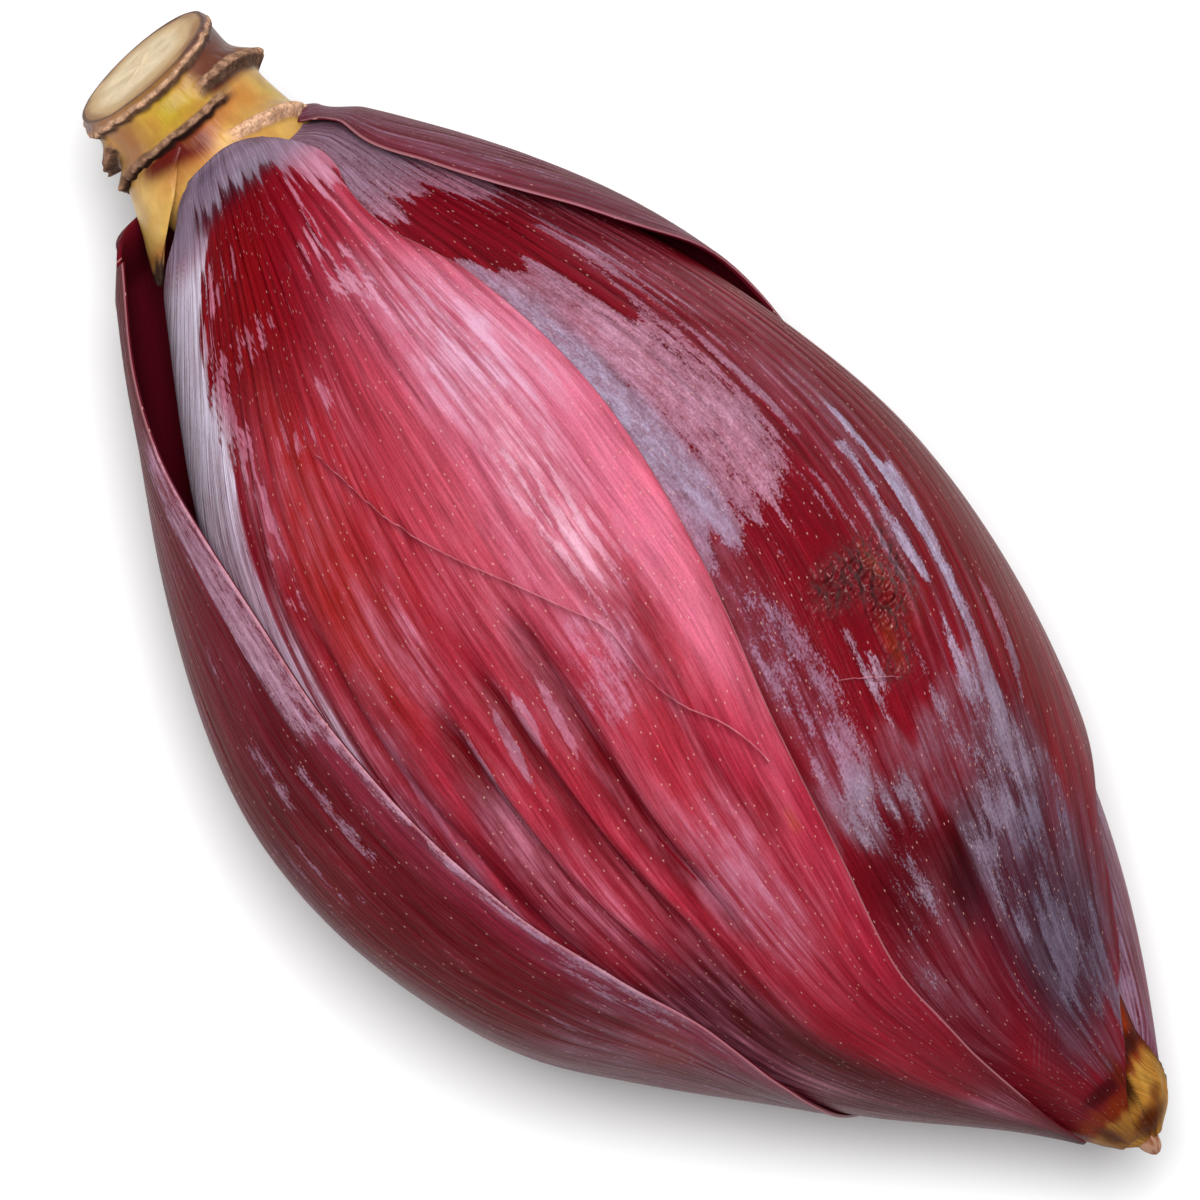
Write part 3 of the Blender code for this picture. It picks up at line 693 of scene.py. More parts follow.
# Inner side of a bract: smooth, damp and deep crimson, with faint veins 0.6 mm apart and no bloom.
bract_lining, tree = new_material("smooth_bract_lining")
veins = node(tree, "ShaderNodeUVMap", uv_map="veins")
flesh = node(tree, "ShaderNodeAttribute", attribute_name="flesh")
along_veins = node(tree, "ShaderNodeMapping", {"Vector": veins, "Scale": (160, 6, 1.0)})
fine = node(tree, "ShaderNodeTexNoise", {"Vector": along_veins, "Scale": 1.0, "Detail": 3.0})
tone = node(tree, "ShaderNodeMapRange", (fine, 0.3, 0.7, 0.8, 1.1))
flesh = node(tree, "ShaderNodeVectorMath", {0: flesh, "Scale": tone}, operation="SCALE")
bump = node(tree, "ShaderNodeBump", {"Height": fine, "Distance": 0.0003, "Strength": 0.5})
shader = node(tree, "ShaderNodeBsdfPrincipled", {
    "Base Color": flesh, "Roughness": 0.38, "Normal": bump, "IOR": 1.42, "Specular IOR Level": 0.3})
node(tree, "ShaderNodeOutputMaterial", (shader,))

LINING = "#5c0a1a"
FLOOR_SKIN = 0.9           # what is left of the lowest bract's thickness where it lies on the table
# Gloss and light from around pale the skin, so its colours are laid on deeper: a power for each of red, green
# and blue, and a share of the whole
DEEPER = np.array((1.1, 1.2, 1.2))
DEPTH = 0.88


def patch(u, along, across, place, wide, long):
    """An oval patch with a soft edge, 1 inside and 0 outside."""
    return np.exp(-(((u - across) / wide) ** 2 + ((along - place) / long) ** 2) ** 2)


def blotches(u, along, spots):
    """Soft ovals added up, each (how much, place across, place along, half width, half length)."""
    return sum(much * patch(u, along, *where) for much, *where in spots)


def washes(u, along, spots):
    """Soft ovals for `tinted`, each (how much, place across, along, half width, half length, colour)."""
    return [(much * patch(u, along, *where), hex_value) for much, *where, hex_value in spots]


def streak(u, along, across, first, last, wide, lean=0.0, soft=0.005, torn=0.0):
    """A streak along the veins, `wide` to each side, from `first` to `last`, leaning across as it goes."""
    ends = smooth((along - first + torn) / 2.0) * smooth((last + 2.0 * torn - along) / 5.0)
    return ends * smooth((wide - np.abs(u - across - lean * (along - first))) / soft + 0.5)


def ribs(phase):
    """Rounded ribs with narrow grooves between them: 1 on a rib and 0 in a groove."""
    return 1.0 - np.abs(2.0 * (phase % 1.0) - 1.0) ** 4


def build_bract(name, material, layer, left, right, root, tip, columns, rows, look, relief, lift=None,
                root_length=8.0, arch=(2.8, 2.8), floor=False, sink=None, free_corner=0.0, vein=None,
                corner=None, crease=None, scab=None):
    """A bract between its left and right margins, which are turn angles along the bud.

    `look` gives the colours, the bloom and the haze, `relief` how far the whole bract and its skin stand
    out, and `vein` the place of each vein across the bract where it isn't simply its share `u` of the width.
    `crease` says how far past a crease a place is, as a share of the width, and `scab` where the skin healed.
    `lift` and `sink` move the bract out or in, `arch` is how far each end of its root lies towards the tip,
    `free_corner` the share of the root that isn't held, and `corner` rounds one off: how far, where across,
    over what share.
    """
    t = np.linspace(0.0, 1.0, columns + 1)
    u = (0.55 * t + 0.45 * (0.5 - 0.5 * np.cos(np.pi * t)))[None, :]
    t = np.linspace(0.0, 1.0, rows + 1)
    v = (t - 0.1 * np.sin(2.0 * np.pi * t))[:, None]
    place = root + (tip - root) * v
    first, last = curve(left)(place), curve(right)(place)
    turn = first + (last - first) * u
    girth = float(np.max(np.radians(np.abs(last - first)) * (half_width(place) + layer * pitch(0.0))))
    along = place + np.where(u < 0.5, *arch) * (2.0 * u - 1.0) ** 2 * (1.0 - v) ** 6
    if corner:
        away = np.clip(1.0 - (u - corner[1]) / corner[2], 0.0, 1.0)
        along = along + corner[0] * (1.0 - np.sqrt(1.0 - away ** 2)) * (1.0 - v) ** 8
    width = np.radians(np.abs(last - first)) * np.maximum(half_width(along) + layer * pitch(along), 3.0)
    rim = np.minimum(np.minimum(u, 1.0 - u) * width, (1.0 - v) * (tip - root))
    offset = layer * pitch(along)
    if lift:
        offset = offset + lift(along, u, turn)
    if sink:
        offset = offset - sink(along)
    body, surface = relief(u, along, turn)
    fade = smooth((along - root - 0.5) / 5.0)
    offset = offset + body * fade
    margin = smooth(np.minimum(u, 1.0 - u) / 0.2) * fall(v, 1.0, 0.06)
    skin = thickness(along) * (0.55 + 0.45 * margin)
    rounding = 0.4 * skin * (1.0 - np.sqrt(1.0 - np.clip(1.0 - rim / (0.5 * skin), 0.0, 1.0) ** 2))
    held = smooth(u / free_corner) if 0.0 < free_corner < 1.0 else 1.0 - free_corner
    sunk = 2.4 * held * (1.0 - smooth((place - root) / 2.6))
    outer = spot(along, turn, *reach(along, offset - rounding + surface * fade, root, root_length,
                                     ROOT_RADIUS + skin - sunk, held))
    inner = spot(along, turn, *reach(along, offset - skin + rounding, root, root_length,
                                     ROOT_RADIUS - 0.8 * sunk, held))
    if floor:
        outer[..., 2] = np.maximum(outer[..., 2], 0.0)
        inner[..., 2] = np.maximum(inner[..., 2], FLOOR_SKIN * MM)

    wide = columns + 1
    j, i = np.mgrid[0:rows, 0:columns]
    start = j * wide + i
    quads = np.stack((start, start + 1, start + wide + 1, start + wide), axis=-1).reshape(-1, 4)
    under = quads[:, ::-1] + turn.size
    edge = np.concatenate((np.arange(columns), np.arange(rows) * wide + columns,
                           rows * wide + np.arange(columns, 0, -1), np.arange(rows, 0, -1) * wide))
    following = np.roll(edge, -1)
    walls = np.stack((edge, edge + turn.size, following + turn.size, following), axis=-1)
    faces = np.concatenate((quads, under, walls)).tolist()
    slots = np.concatenate((np.zeros(len(quads)), np.ones(len(under)), np.zeros(len(walls))))

    def both(outside, inside):
        """A layer's values over the skin, then over the lining."""
        grid = turn.shape + np.shape(inside)
        return np.stack((np.broadcast_to(outside, grid), np.broadcast_to(inside, grid)))

    flesh, wax, bloom, haze = look(u, along, turn)
    crack = crease(u, along) * width if crease else FAR_OFF
    crusted = scab(u, along) if scab else 0.0
    strand = (vein(u, along, turn) if vein else u) * girth
    return plain_mesh(name, np.stack((outer, inner)), faces, (material, bract_lining), slots,
                      flesh=both(DEPTH * flesh ** DEEPER, colour(LINING)),
                      wax=both(DEPTH * wax, colour(LINING)),
                      bloom=both(bloom, 0.0), haze=both(haze, 0.0),
                      rim=both(rim + rise(along, 218.0, 5.0), FAR_OFF), crease=both(crack, FAR_OFF),
                      scab=both(crusted, 0.0),
                      veins=np.stack(np.broadcast_arrays(strand, along), axis=-1) / 100.0)


def inner_sink(along):
    """Inner bracts keep close to the bud near the stem and leave room for the flowers outside them."""
    return 5.0 * fall(along, 112.0, 45.0)


def plum_look(u, along, turn):
    """Deep plum flesh with an even veil of bloom that is thin towards the tip."""
    cloud = lumps(u * 7, along / 22, 1)
    flesh = tinted("#74203a", (0.7 * rise(along, 150, 60), "#551626"), (0.5 * cloud, "#8c2440"),
                   (rise(along, 226, 6), "#9a6a34"))
    wax = tinted("#a98ba6", (0.5 * cloud, "#8f7490"))
    clear = 1.0 - rise(along, 222, 8)
    return flesh, wax, (0.2 + 0.25 * cloud) * clear, 0.2 * clear


def plain_ribs(u, along, turn):
    """Even ribs from root to tip, on a skin that rises and falls a little."""
    phase = u * 30 + 0.8 * lumps(u * 9, along / 40, 2)
    broad = 0.25 * (lumps(u * 6, along / 45, 4) - 0.5)
    return broad, -0.22 * (1.0 - ribs(phase)) * rise(along, 20, 20) * fall(along, 225, 60)


# Old outer skin: tough and dark, with a thin even bloom that is rubbed in places
plum_skin = bract_material("plum_bract_skin", ragged=1.1, powdery=0.6, speck=0.45, veil=0.75)
under_bract = build_bract(
    "under_bract_piece", plum_skin, -3,
    ((43, 146), (120, 140), (180, 146), (215, 142), (236, 150)),
    ((43, 236), (120, 246), (180, 250), (215, 250), (236, 220)),
    43.0, 236.0, 110, 120, plum_look, plain_ribs, root_length=7.0, sink=inner_sink)
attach(under_bract, "root")
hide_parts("under_bract")


# ---- Inner right bract -----------------------------------------------------------------------------------
# Lies under the right bract and shows only along the silhouette near the tip, mauve with bloom. Near the stem
# it keeps close to the bud, under its hand of flowers.
TIP_BRACT_RIGHT = ((120, 30), (200, 34), (216, 42), (224, 48), (229.5, 66), (233, 92), (238, 118))


def inner_right_lift(along, u, turn):
    """Where the tip bract doesn't cover it, this bract lies one layer higher."""
    clear = smooth((turn - curve(TIP_BRACT_RIGHT)(along) - 4.0) / 12.0)
    return pitch(along) * clear * rise(along, 140.0, 30.0)


def inner_right_look(u, along, turn):
    """Crimson flesh under mauve bloom, thickest along the edge of the right bract."""
    cloud = lumps(turn / 9, along / 16, 3)
    flesh = tinted("#84223a", (0.8 * patch(turn, along, 62, 205, 14, 16), "#701428"),
                   (0.7 * patch(turn, along, 85, 215, 12, 14), "#8f1c3a"),
                   (rise(along, 228, 4), "#4a1a14"))
    wax = tinted("#9d839f", (0.7 * patch(turn, along, 48, 214, 8, 12), "#8b8099"), (0.4 * cloud, "#b48ba2"))
    bloom = 0.16 + 0.2 * cloud + 0.4 * patch(turn, along, 50, 212, 9, 16)
    bloom = bloom - 0.3 * patch(turn, along, 90, 214, 14, 14)
    return flesh, wax, bloom, 0.3


inner_right_bract = build_bract(
    "inner_right_bract_piece", plum_skin, -3,
    ((40, 32), (120, 12), (200, 8), (225, -10), (234, 16)),
    ((40, 115), (120, 132), (180, 138), (215, 132), (234, 96)),
    40.0, 234.0, 130, 130, inner_right_look, plain_ribs, lift=inner_right_lift, root_length=12.0,
    sink=inner_sink, vein=lambda u, along, turn: turn / 125.0)
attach(inner_right_bract, "root")
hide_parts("inner_right_bract")


# ---- Tip bract -------------------------------------------------------------------------------------------
# A young bract wrapped round the end of the bud. Its tip has dried to a brittle ochre lobe, orange where it
# is still thin and dark brown where it was bruised. It stands free of the stem.
def tip_look(u, along, turn):
    """Ochre where it is dry, orange towards the living part, dark brown in its cracks and bruises, and a
    painted shadow along the margin of the right bract that lies over it.
    """
    cloud = lumps(turn / 12, along / 5, 2)
    fine = lumps(turn / 5, along / 3, 6)
    crack = lumps(turn / 3.2, along / 6, 3)
    dry = smooth((along - 205 - 4 * cloud) / 8)
    flesh = tinted("#7a1f34", (dry, "#9a4012"),
                   (smooth((along - 225.5 - 3 * (cloud - 0.5)) / 2.5), "#c29246"),
                   (0.7 * smooth((fine - 0.5) / 0.25) * rise(along, 224, 4), "#cda556"),
                   (0.7 * smooth((0.3 - crack) / 0.12) * rise(along, 220, 6), "#5a3016"),
                   (0.9 * patch(turn, along, 34, 223.6, 12, 2.0), "#3c160a"),
                   # Painted shadow: the strip beside the right bract's margin, which lies over this bract, is
                   # painted near black.
                   (0.97 * fall(turn, 30, 5) * fall(along, 229, 5), "#360c0a"),
                   (0.92 * fall(turn, 22, 8) * fall(along, 234, 5), "#2a0d0a"),
                   (0.9 * patch(turn, along, 18, 235.5, 40, 2.4), "#4a160f"),
                   (0.7 * patch(turn, along, 40, 232.5, 10, 1.5), "#7a4420"),
                   (0.7 * smooth((turn - curve(TIP_BRACT_RIGHT)(along) + 7) / 5) * dry, "#4a1e14"))
    return flesh, colour("#c9a27a"), 0.0, 0.0


def tip_relief(u, along, turn):
    """Dry wrinkles, cracks, a dent, and the end closing over the nub."""
    wrinkle = lumps(turn / 7, along / 9, 5) - 0.5
    dry = rise(along, 210, 12)
    closing = 2.0 * rise(along, 233.5, 4.5) ** 2
    dent = 0.5 * patch(turn, along, 20, 234.5, 14, 1.2)
    cracks = smooth((0.3 - lumps(turn / 3.2, along / 6, 3)) / 0.12)
    surface = 0.35 * (lumps(turn / 3, along / 3.2, 1) - 0.5) - 0.2 * cracks
    return (0.5 * wrinkle * fall(along, 236, 4) - closing - dent) * dry, surface * dry


# Dried skin: brittle and dull, with no bloom left
dried_skin = bract_material("dried_bract_tip_skin", speck=0.15, veil=0.5)
tip_bract = build_bract(
    "tip_bract_piece", dried_skin, -2,
    ((120, -70), (200, -80), (225, -118), (238, -130)), TIP_BRACT_RIGHT,
    120.0, 238.0, 150, 140, tip_look, tip_relief,
    lift=lambda along, u, turn: rise(along, 222.0, 10.0) * rise(turn, 10.0, 40.0),
    arch=(6, 6), free_corner=1.0)
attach(tip_bract, "root")
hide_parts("tip_bract")


# ---- Right bract -----------------------------------------------------------------------------------------
# The large bract that shows on the right, grown to the stem. Its bloom is thick and even in the upper part,
# rubbed off across the middle where it was scraped and scabbed, and cloudy towards the tip.
def right_vein(u, along, turn):
    """The veins run straight for the tip, and the margins cut across them."""
    drift = curve(((26, -14), (40, -3), (60, 0), (100, 2), (140, 12), (180, 27), (215, 45), (236, 50)))(along)
    return (turn + drift * fall(turn, 115.0, 75.0)) / 150.0


def right_phase(strand, along):
    """Counts the ribs from margin to margin."""
    return strand * 46 + lumps(strand * 12, along / 45, 2)


def right_relief(u, along, turn):
    """Ribs in the upper part, a lumpy scab with a wrinkled place beside it, and dents below."""
    strand = right_vein(u, along, turn)
    phase = right_phase(strand, along)
    strength = 0.05 + 0.28 * rise(along, 34, 12) * fall(along, 150, 60) * rise(turn, 20, 25)
    grooves = -strength * (1.0 - ribs(phase)) * fall(along, 225, 50)
    broad = 0.6 * (lumps(strand * 14, along / 40, 6) - 0.5) * rise(along, 50, 30) * fall(along, 215, 40)
    broad = broad - 0.7 * rise(along, 233, 3.5)
    broad += 0.4 * (lumps(turn / 14, along / 6, 4) - 0.5) * rise(along, 222, 6)
    scab = patch(u, along, 0.475, 143, 0.05, 9)
    knobs = 1.6 * (lumps(strand * 95, along / 1.5, 1) - 0.45)
    knobs = knobs + 0.9 * (lumps(strand * 42, along / 3.4, 3) - 0.4)
    wrinkle = patch(u, along, 0.41, 137, 0.05, 4) * 0.9 * (lumps(strand * 60, along / 1.6, 7) - 0.5)
    dents = blotches(u, along, ((-0.7, 0.53, 139, 0.018, 6), (-0.6, 0.42, 147, 0.03, 3)))
    return broad, grooves + scab * knobs + wrinkle + dents


def right_look(u, along, turn):
    """Dark red flesh with painted shade in its rib grooves, one broad patch of even bloom, thin strips of it,
    and a grey band by the tip.
    """
    strand = right_vein(u, along, turn)
    cloud = lumps(strand * 22, along / 14, 4)
    mottle = lumps(strand * 50, along / 6, 9)
    phase = right_phase(strand, along)
    ribbed = ribs(phase)
    crest = smooth(1.0 - 1.9 * np.abs(2.0 * (phase % 1.0) - 1.0))
    step = 5.0 * (lumps(strand * 50, 0.5, 6) - 0.5) + 3.0 * (lumps(strand * 110, 0.5, 2) - 0.5)
    flesh = tinted(
        "#821b2b", (0.5 * cloud, "#90253a"),
        *washes(u, along, (
            (0.8, 0.42, 30, 0.3, 9, "#7c2a30"), (0.8, 0.39, 58, 0.13, 14, "#85192a"),
            (0.7, 0.58, 90, 0.1, 40, "#922c3a"), (0.6, 0.60, 125, 0.05, 25, "#7c1a24"),
            (0.8, 0.72, 150, 0.1, 40, "#7c0f1c"), (0.8, 0.42, 140, 0.13, 21, "#831828"),
            (0.6, 0.475, 139, 0.012, 4, "#a0503c"), (0.6, 0.445, 150, 0.010, 4, "#a8441c"),
            (0.5, 0.5, 147, 0.05, 5, "#8c1a18"), (0.9, 0.46, 184, 0.08, 9, "#3c060e"),
            (0.8, 0.33, 178, 0.1, 12, "#5a0f1c"), (0.6, 0.3, 205, 0.2, 16, "#6c1a2c"),
            (0.8, 0.6, 190, 0.14, 22, "#4a2434"), (0.85, 0.75, 205, 0.2, 16, "#43303e"))),
        (0.6 * rise(along, 214, 8) * fall(u, 0.62, 0.2), "#5e1220"),
        (0.9 * smooth((along - 226.5 + 2.0 * (cloud - 0.5)) / 3), "#86390f"),
        (0.9 * smooth((along - 230.6 + 1.6 * (cloud - 0.5)) / 1.6), "#b48a44"),
        *washes(turn, along, (
            (0.7, -8, 226.6, 22, 1.6, "#2a0d0c"), (0.95, 10, 225.5, 6, 4.0, "#6e2a1a"),
            (0.85, 2, 236.0, 16, 2.0, "#42211a"), (0.8, -42, 233, 12, 2.4, "#4a2818"))))
    # Painted shade: the flesh is darkened in the grooves between the ribs.
    groove_shade = 0.3 * fall(along, 150, 60) + 0.08 * fall(along, 185, 20)
    flesh = flesh * (1.0 - groove_shade * (1.0 - ribbed))[..., None]
    wax = tinted(
        "#b0788f", (0.5 * smooth((mottle - 0.5) / 0.2), "#a48095"),
        *washes(u, along, (
            (0.8, 0.40, 98, 0.06, 26, "#c48fa8"), (0.85, 0.31, 95, 0.035, 34, "#a59ab5"),
            (0.6, 0.37, 166, 0.08, 8, "#8f6478"), (0.8, 0.29, 140, 0.06, 26, "#95748f"),
            (0.9, 0.58, 138, 0.07, 32, "#b5acc8"), (0.6, 0.4, 152, 0.04, 10, "#b0a0b8"))),
        (0.8 * fall(along, 47, 8), "#9a8096"), (0.85 * rise(along, 156, 10), "#87798c"),
        (0.75 * rise(along, 176, 14) * rise(u, 0.45, 0.2), "#5f5468"))
    bloom = 0.05 + 0.12 * cloud
    bloom += (0.56 + 0.3 * crest) * smooth((47.5 + 8 * rise(u, 0.42, 0.08) - along + step) / 4)
    upper = curve(((0.0, 50), (0.25, 55), (0.31, 58.5), (0.37, 64.5), (0.405, 66), (0.42, 76), (0.455, 79),
                   (0.468, 69), (0.5, 61), (0.55, 60), (1.0, 60)))(u)
    solid = fall(u, 0.486, 0.03) * smooth((along - upper + 0.6 * step) / 4)
    solid = solid * smooth((123.5 + 0.3 * step + 6.0 * (mottle - 0.5) - along) / 9)
    even = 0.62 + 0.1 * (mottle - 0.5) + 0.2 * fall(u, 0.35, 0.05)
    bloom += (even - 0.3 * (1.0 - ribbed) * rise(u, 0.4, 0.05)) * solid
    strips = ((0.484, 62, 117, 0.008, 0.52), (0.507, 60, 99, 0.007, 0.45), (0.527, 84, 101, 0.007, 0.42),
              (0.545, 70, 86, 0.006, 0.4), (0.549, 118, 150, 0.009, 0.66), (0.588, 117, 137, 0.007, 0.66),
              (0.602, 127, 172, 0.015, 0.62), (0.548, 149, 168, 0.010, 0.5), (0.512, 121, 146, 0.005, 0.42),
              (0.475, 119, 135, 0.005, 0.42), (0.385, 143, 160, 0.008, 0.45), (0.405, 146, 159, 0.008, 0.4),
              (0.69, 152, 170, 0.014, 0.45), (0.48, 148, 162, 0.006, 0.32), (0.455, 121, 132, 0.005, 0.32),
              (0.43, 121, 129, 0.005, 0.28), (0.52, 136, 160, 0.004, 0.3), (0.36, 119, 133, 0.006, 0.3),
              (0.39, 119, 128, 0.005, 0.28))
    frayed = 0.4 + 1.2 * lumps(strand * 60, along / 9, 8)
    for across, first, last, wide, much in strips:
        bloom += much * frayed * streak(u, along, across, first, last, wide, 0.0002, 0.01, step)
    lines = crest * rise(u, 0.47, 0.05) * (0.35 + 0.65 * cloud)
    bloom += 0.28 * lines * fall(u, 0.72, 0.14) * rise(along, 40, 10) * fall(along, 170, 60)
    bloom += 0.6 * crest * fall(along, 66, 16) * rise(u, 0.4, 0.05)
    bloom += 0.42 * patch(u, along, 0.29, 142, 0.05, 26) * (0.4 + mottle)
    top = curve(((0.0, 157), (0.35, 157), (0.45, 161), (0.55, 158), (0.62, 164), (0.70, 176), (0.8, 184),
                 (1.0, 190)))(u)
    low = curve(((0.0, 168), (0.3, 172), (0.42, 178), (0.5, 190), (0.6, 211), (0.67, 222), (0.76, 226),
                 (1.0, 227)))(u)
    band = smooth((along - top + 1.6 * step) / 4) * smooth((low + 1.6 * step - along) / 6)
    band = band * fall(along, 226, 2)
    bloom += band * (0.14 + 0.08 * rise(u, 0.45, 0.1) + 0.5 * (mottle - 0.5) + 0.3 * (cloud - 0.5))
    bloom += 0.55 * rise(u, 0.984, 0.008) * rise(along, 185, 8) * fall(along, 223, 3)
    bloom += blotches(u, along, (
        (0.3, 0.58, 168, 0.05, 9), (0.25, 0.52, 183, 0.06, 5), (0.2, 0.75, 203, 0.12, 7),
        (0.15, 0.3, 188, 0.08, 12), (0.15, 0.33, 150, 0.04, 12)))
    bloom = bloom - 0.6 * rise(along, 224.5, 2)
    haze = 0.2 * lines * fall(u, 0.7, 0.1) + 0.25 * fall(along, 46, 8) + 0.24 * band
    bloom += 0.25 * patch(u, along, 0.36, 178, 0.09, 12) * mottle
    haze += blotches(u, along, ((0.22, 0.285, 142, 0.04, 26), (0.3, 0.64, 182, 0.07, 10),
                                (0.12, 0.35, 195, 0.12, 16), (0.1, 0.55, 90, 0.1, 40)))
    return flesh, wax, bloom, haze


def right_crease(u, along):
    """A thin slanting scratch below the rubbed place."""
    past = (along - 148.5 - 70.0 * (u - 0.345)) * 0.012
    return np.where((u > 0.342) & (u < 0.44), past + 0.0012 * np.sign(past), 0.1 * np.sign(past))


def right_scab(u, along):
    """A healed, knobbly place where the bract was knocked."""
    knob = 0.7 * patch(u, along, 0.475, 142, 0.045, 8) + 0.7 * patch(u, along, 0.41, 137, 0.05, 4)
    knob += 0.5 * patch(u, along, 0.53, 140, 0.02, 7) + 0.4 * patch(u, along, 0.44, 153, 0.04, 3)
    return knob.clip(0.0, 1.0)


# Old skin in the light: dark, half-gloss, and powdery where the bloom is whole
right_skin = bract_material("right_bract_skin", ragged=0.9, powdery=0.8, speck=0.6, veil=0.9)
right_bract = build_bract(
    "right_bract_piece", right_skin, -1,
    ((28, 12), (60, -8), (120, -20), (180, -35), (210, -60), (225, -95), (236, -66)),
    ((26, 78), (60, 118), (100, 122), (140, 110), (165, 97), (183, 82), (192, 66), (203, 57), (212, 48),
     (217, 37), (220, 32), (224, 25), (228.6, 10), (232.4, -3), (236, -14)),
    24.8, 236.0, 280, 165, right_look, right_relief, root_length=4.5, arch=(2.8, -1.0), crease=right_crease,
    scab=right_scab, vein=right_vein)
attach(right_bract, "root")
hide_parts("right_bract")


# ---- Front bract -----------------------------------------------------------------------------------------
# The bract on top, opened to the light and flushed rose red. It is ribbed like a fan below its shoulder, sunk
# into long folds in the middle, and creased across from its left side to its right margin.
CREASE = curve(((62, 0.625), (70, 0.66), (84, 0.708), (92, 0.742), (103, 0.795), (110, 0.828), (117.4, 0.862),
                (124, 0.872), (130.6, 0.887), (135, 0.905), (140.7, 0.938), (148, 0.965), (153.2, 0.975)))
# Long folds: middle line (along, share of the width), half width, from where to where, and how high
FOLDS = (
    (((98, 0.610), (112, 0.622), (130, 0.636), (145, 0.647), (160, 0.65)), 0.016, 104, 152, -1.6),
    (((98, 0.690), (112, 0.699), (120, 0.705), (140, 0.717), (160, 0.727), (178, 0.735)),
     0.016, 103, 172, -1.9),
    (((95, 0.750), (112, 0.768), (122, 0.775), (140, 0.781), (155, 0.789), (172, 0.796)),
     0.017, 100, 178, -2.3),
    (((95, 0.835), (108, 0.852), (117, 0.868), (128, 0.885), (140, 0.897), (150, 0.905), (168, 0.912)),
     0.007, 95, 168, -1.0),
    (((100, 0.642), (113, 0.655), (125, 0.667), (140, 0.680)), 0.007, 105, 134, -0.9),
    (((100, 0.722), (113, 0.735), (122, 0.745), (137, 0.757)), 0.007, 105, 134, -0.8),
    (((105, 0.642), (118, 0.650), (135, 0.664), (150, 0.677), (168, 0.687)), 0.013, 107, 172, 1.3),
    (((105, 0.712), (118, 0.722), (135, 0.738), (150, 0.752), (168, 0.760)), 0.012, 107, 172, 1.3),
    (((110, 0.815), (130, 0.832), (150, 0.850), (178, 0.855)), 0.03, 108, 188, 0.9),
    (((60, 0.500), (100, 0.500), (112, 0.505), (120, 0.53)), 0.016, 62, 124, 0.8),
    (((80, 0.518), (105, 0.520), (115, 0.530), (128, 0.552), (150, 0.565)), 0.010, 78, 150, -0.8),
    (((110, 0.57), (125, 0.585), (150, 0.60), (175, 0.60)), 0.018, 108, 178, 0.6),
    (((70, 0.87), (100, 0.89), (120, 0.925), (150, 0.95)), 0.03, 80, 165, 0.6),
)
FRONT_ROOT = 18.7
FRONT_LEFT = ((FRONT_ROOT, -38), (24, -60), (29, -84), (60, -116), (120, -125), (170, -120), (205, -110),
              (222, -95), (231, -74))
FRONT_RIGHT = ((FRONT_ROOT, 28), (27.5, 33), (37, 24), (60, 27), (85, 25.5), (113, 18.3), (141, 8.7),
               (174, -3.4), (190, -13.4), (205, -21.3), (219, -37), (231, -64))
FAN_ACROSS = 9.6           # the straight ribs of the fan all point to this place beside the cut face
FAN_END = 60.0             # and run into the long veins about here
STEEP_TURN = 75.0          # past this turn the bract curves under and is hardly seen from above


def sideways(turn):
    """How far out a turn lies, as a share of the half-width, and still growing round the underside."""
    past = np.radians(np.clip(np.abs(turn) - STEEP_TURN, 0.0, None)) * np.cos(np.radians(STEEP_TURN))
    return np.sin(np.radians(np.clip(turn, -STEEP_TURN, STEEP_TURN))) + np.sign(turn) * past


def long_vein(u, along):
    """Past the fan the veins follow the margins, drawn together a little on the way to the tip."""
    inward = 0.035 * rise(along, 46, 16) * rise(u, 0.62, 0.15)
    outward = 0.03 * rise(along, 88, 50) * rise(u, 0.5, 0.1)
    late = 0.14 * rise(along, 150, 80) * fall(u, 0.85, 0.2)
    return u + inward - outward + late


def front_vein(u, along, turn):
    """Veins fan out straight from one place at the stem, then turn gently into the long veins."""
    ring_turns = np.linspace(curve(FRONT_LEFT)(FAN_END), curve(FRONT_RIGHT)(FAN_END), 200)
    wide, _ = reach(along, 0.0, FRONT_ROOT)
    end_wide, _ = reach(FAN_END, 0.0, FRONT_ROOT)
    ring_leans = (side_drift(FAN_END) + end_wide * sideways(ring_turns) - FAN_ACROSS) / FAN_END
    lean = (side_drift(along) + wide * sideways(turn) - FAN_ACROSS) / along
    reached = np.interp(lean, ring_leans, np.linspace(0.0, 1.0, 200))
    beyond = (lean - ring_leans[-1]).clip(0.0) + (lean - ring_leans[0]).clip(None, 0.0)
    fan = long_vein(reached + beyond, FAN_END)
    return fan + (long_vein(u, along) - fan) * rise(along, 48.0, 24.0)


def front_phase(u, along, turn):
    """Counts the ribs from margin to margin."""
    strand = front_vein(u, along, turn)
    return strand * 40 + 0.12 * lumps(strand * 11, along / 90, 2)


def groove(phase, wide):
    """1 along a narrow groove between two ribs, fading over a share of a rib's width."""
    return hill(0.5 - np.abs(phase % 1.0 - 0.5), wide)


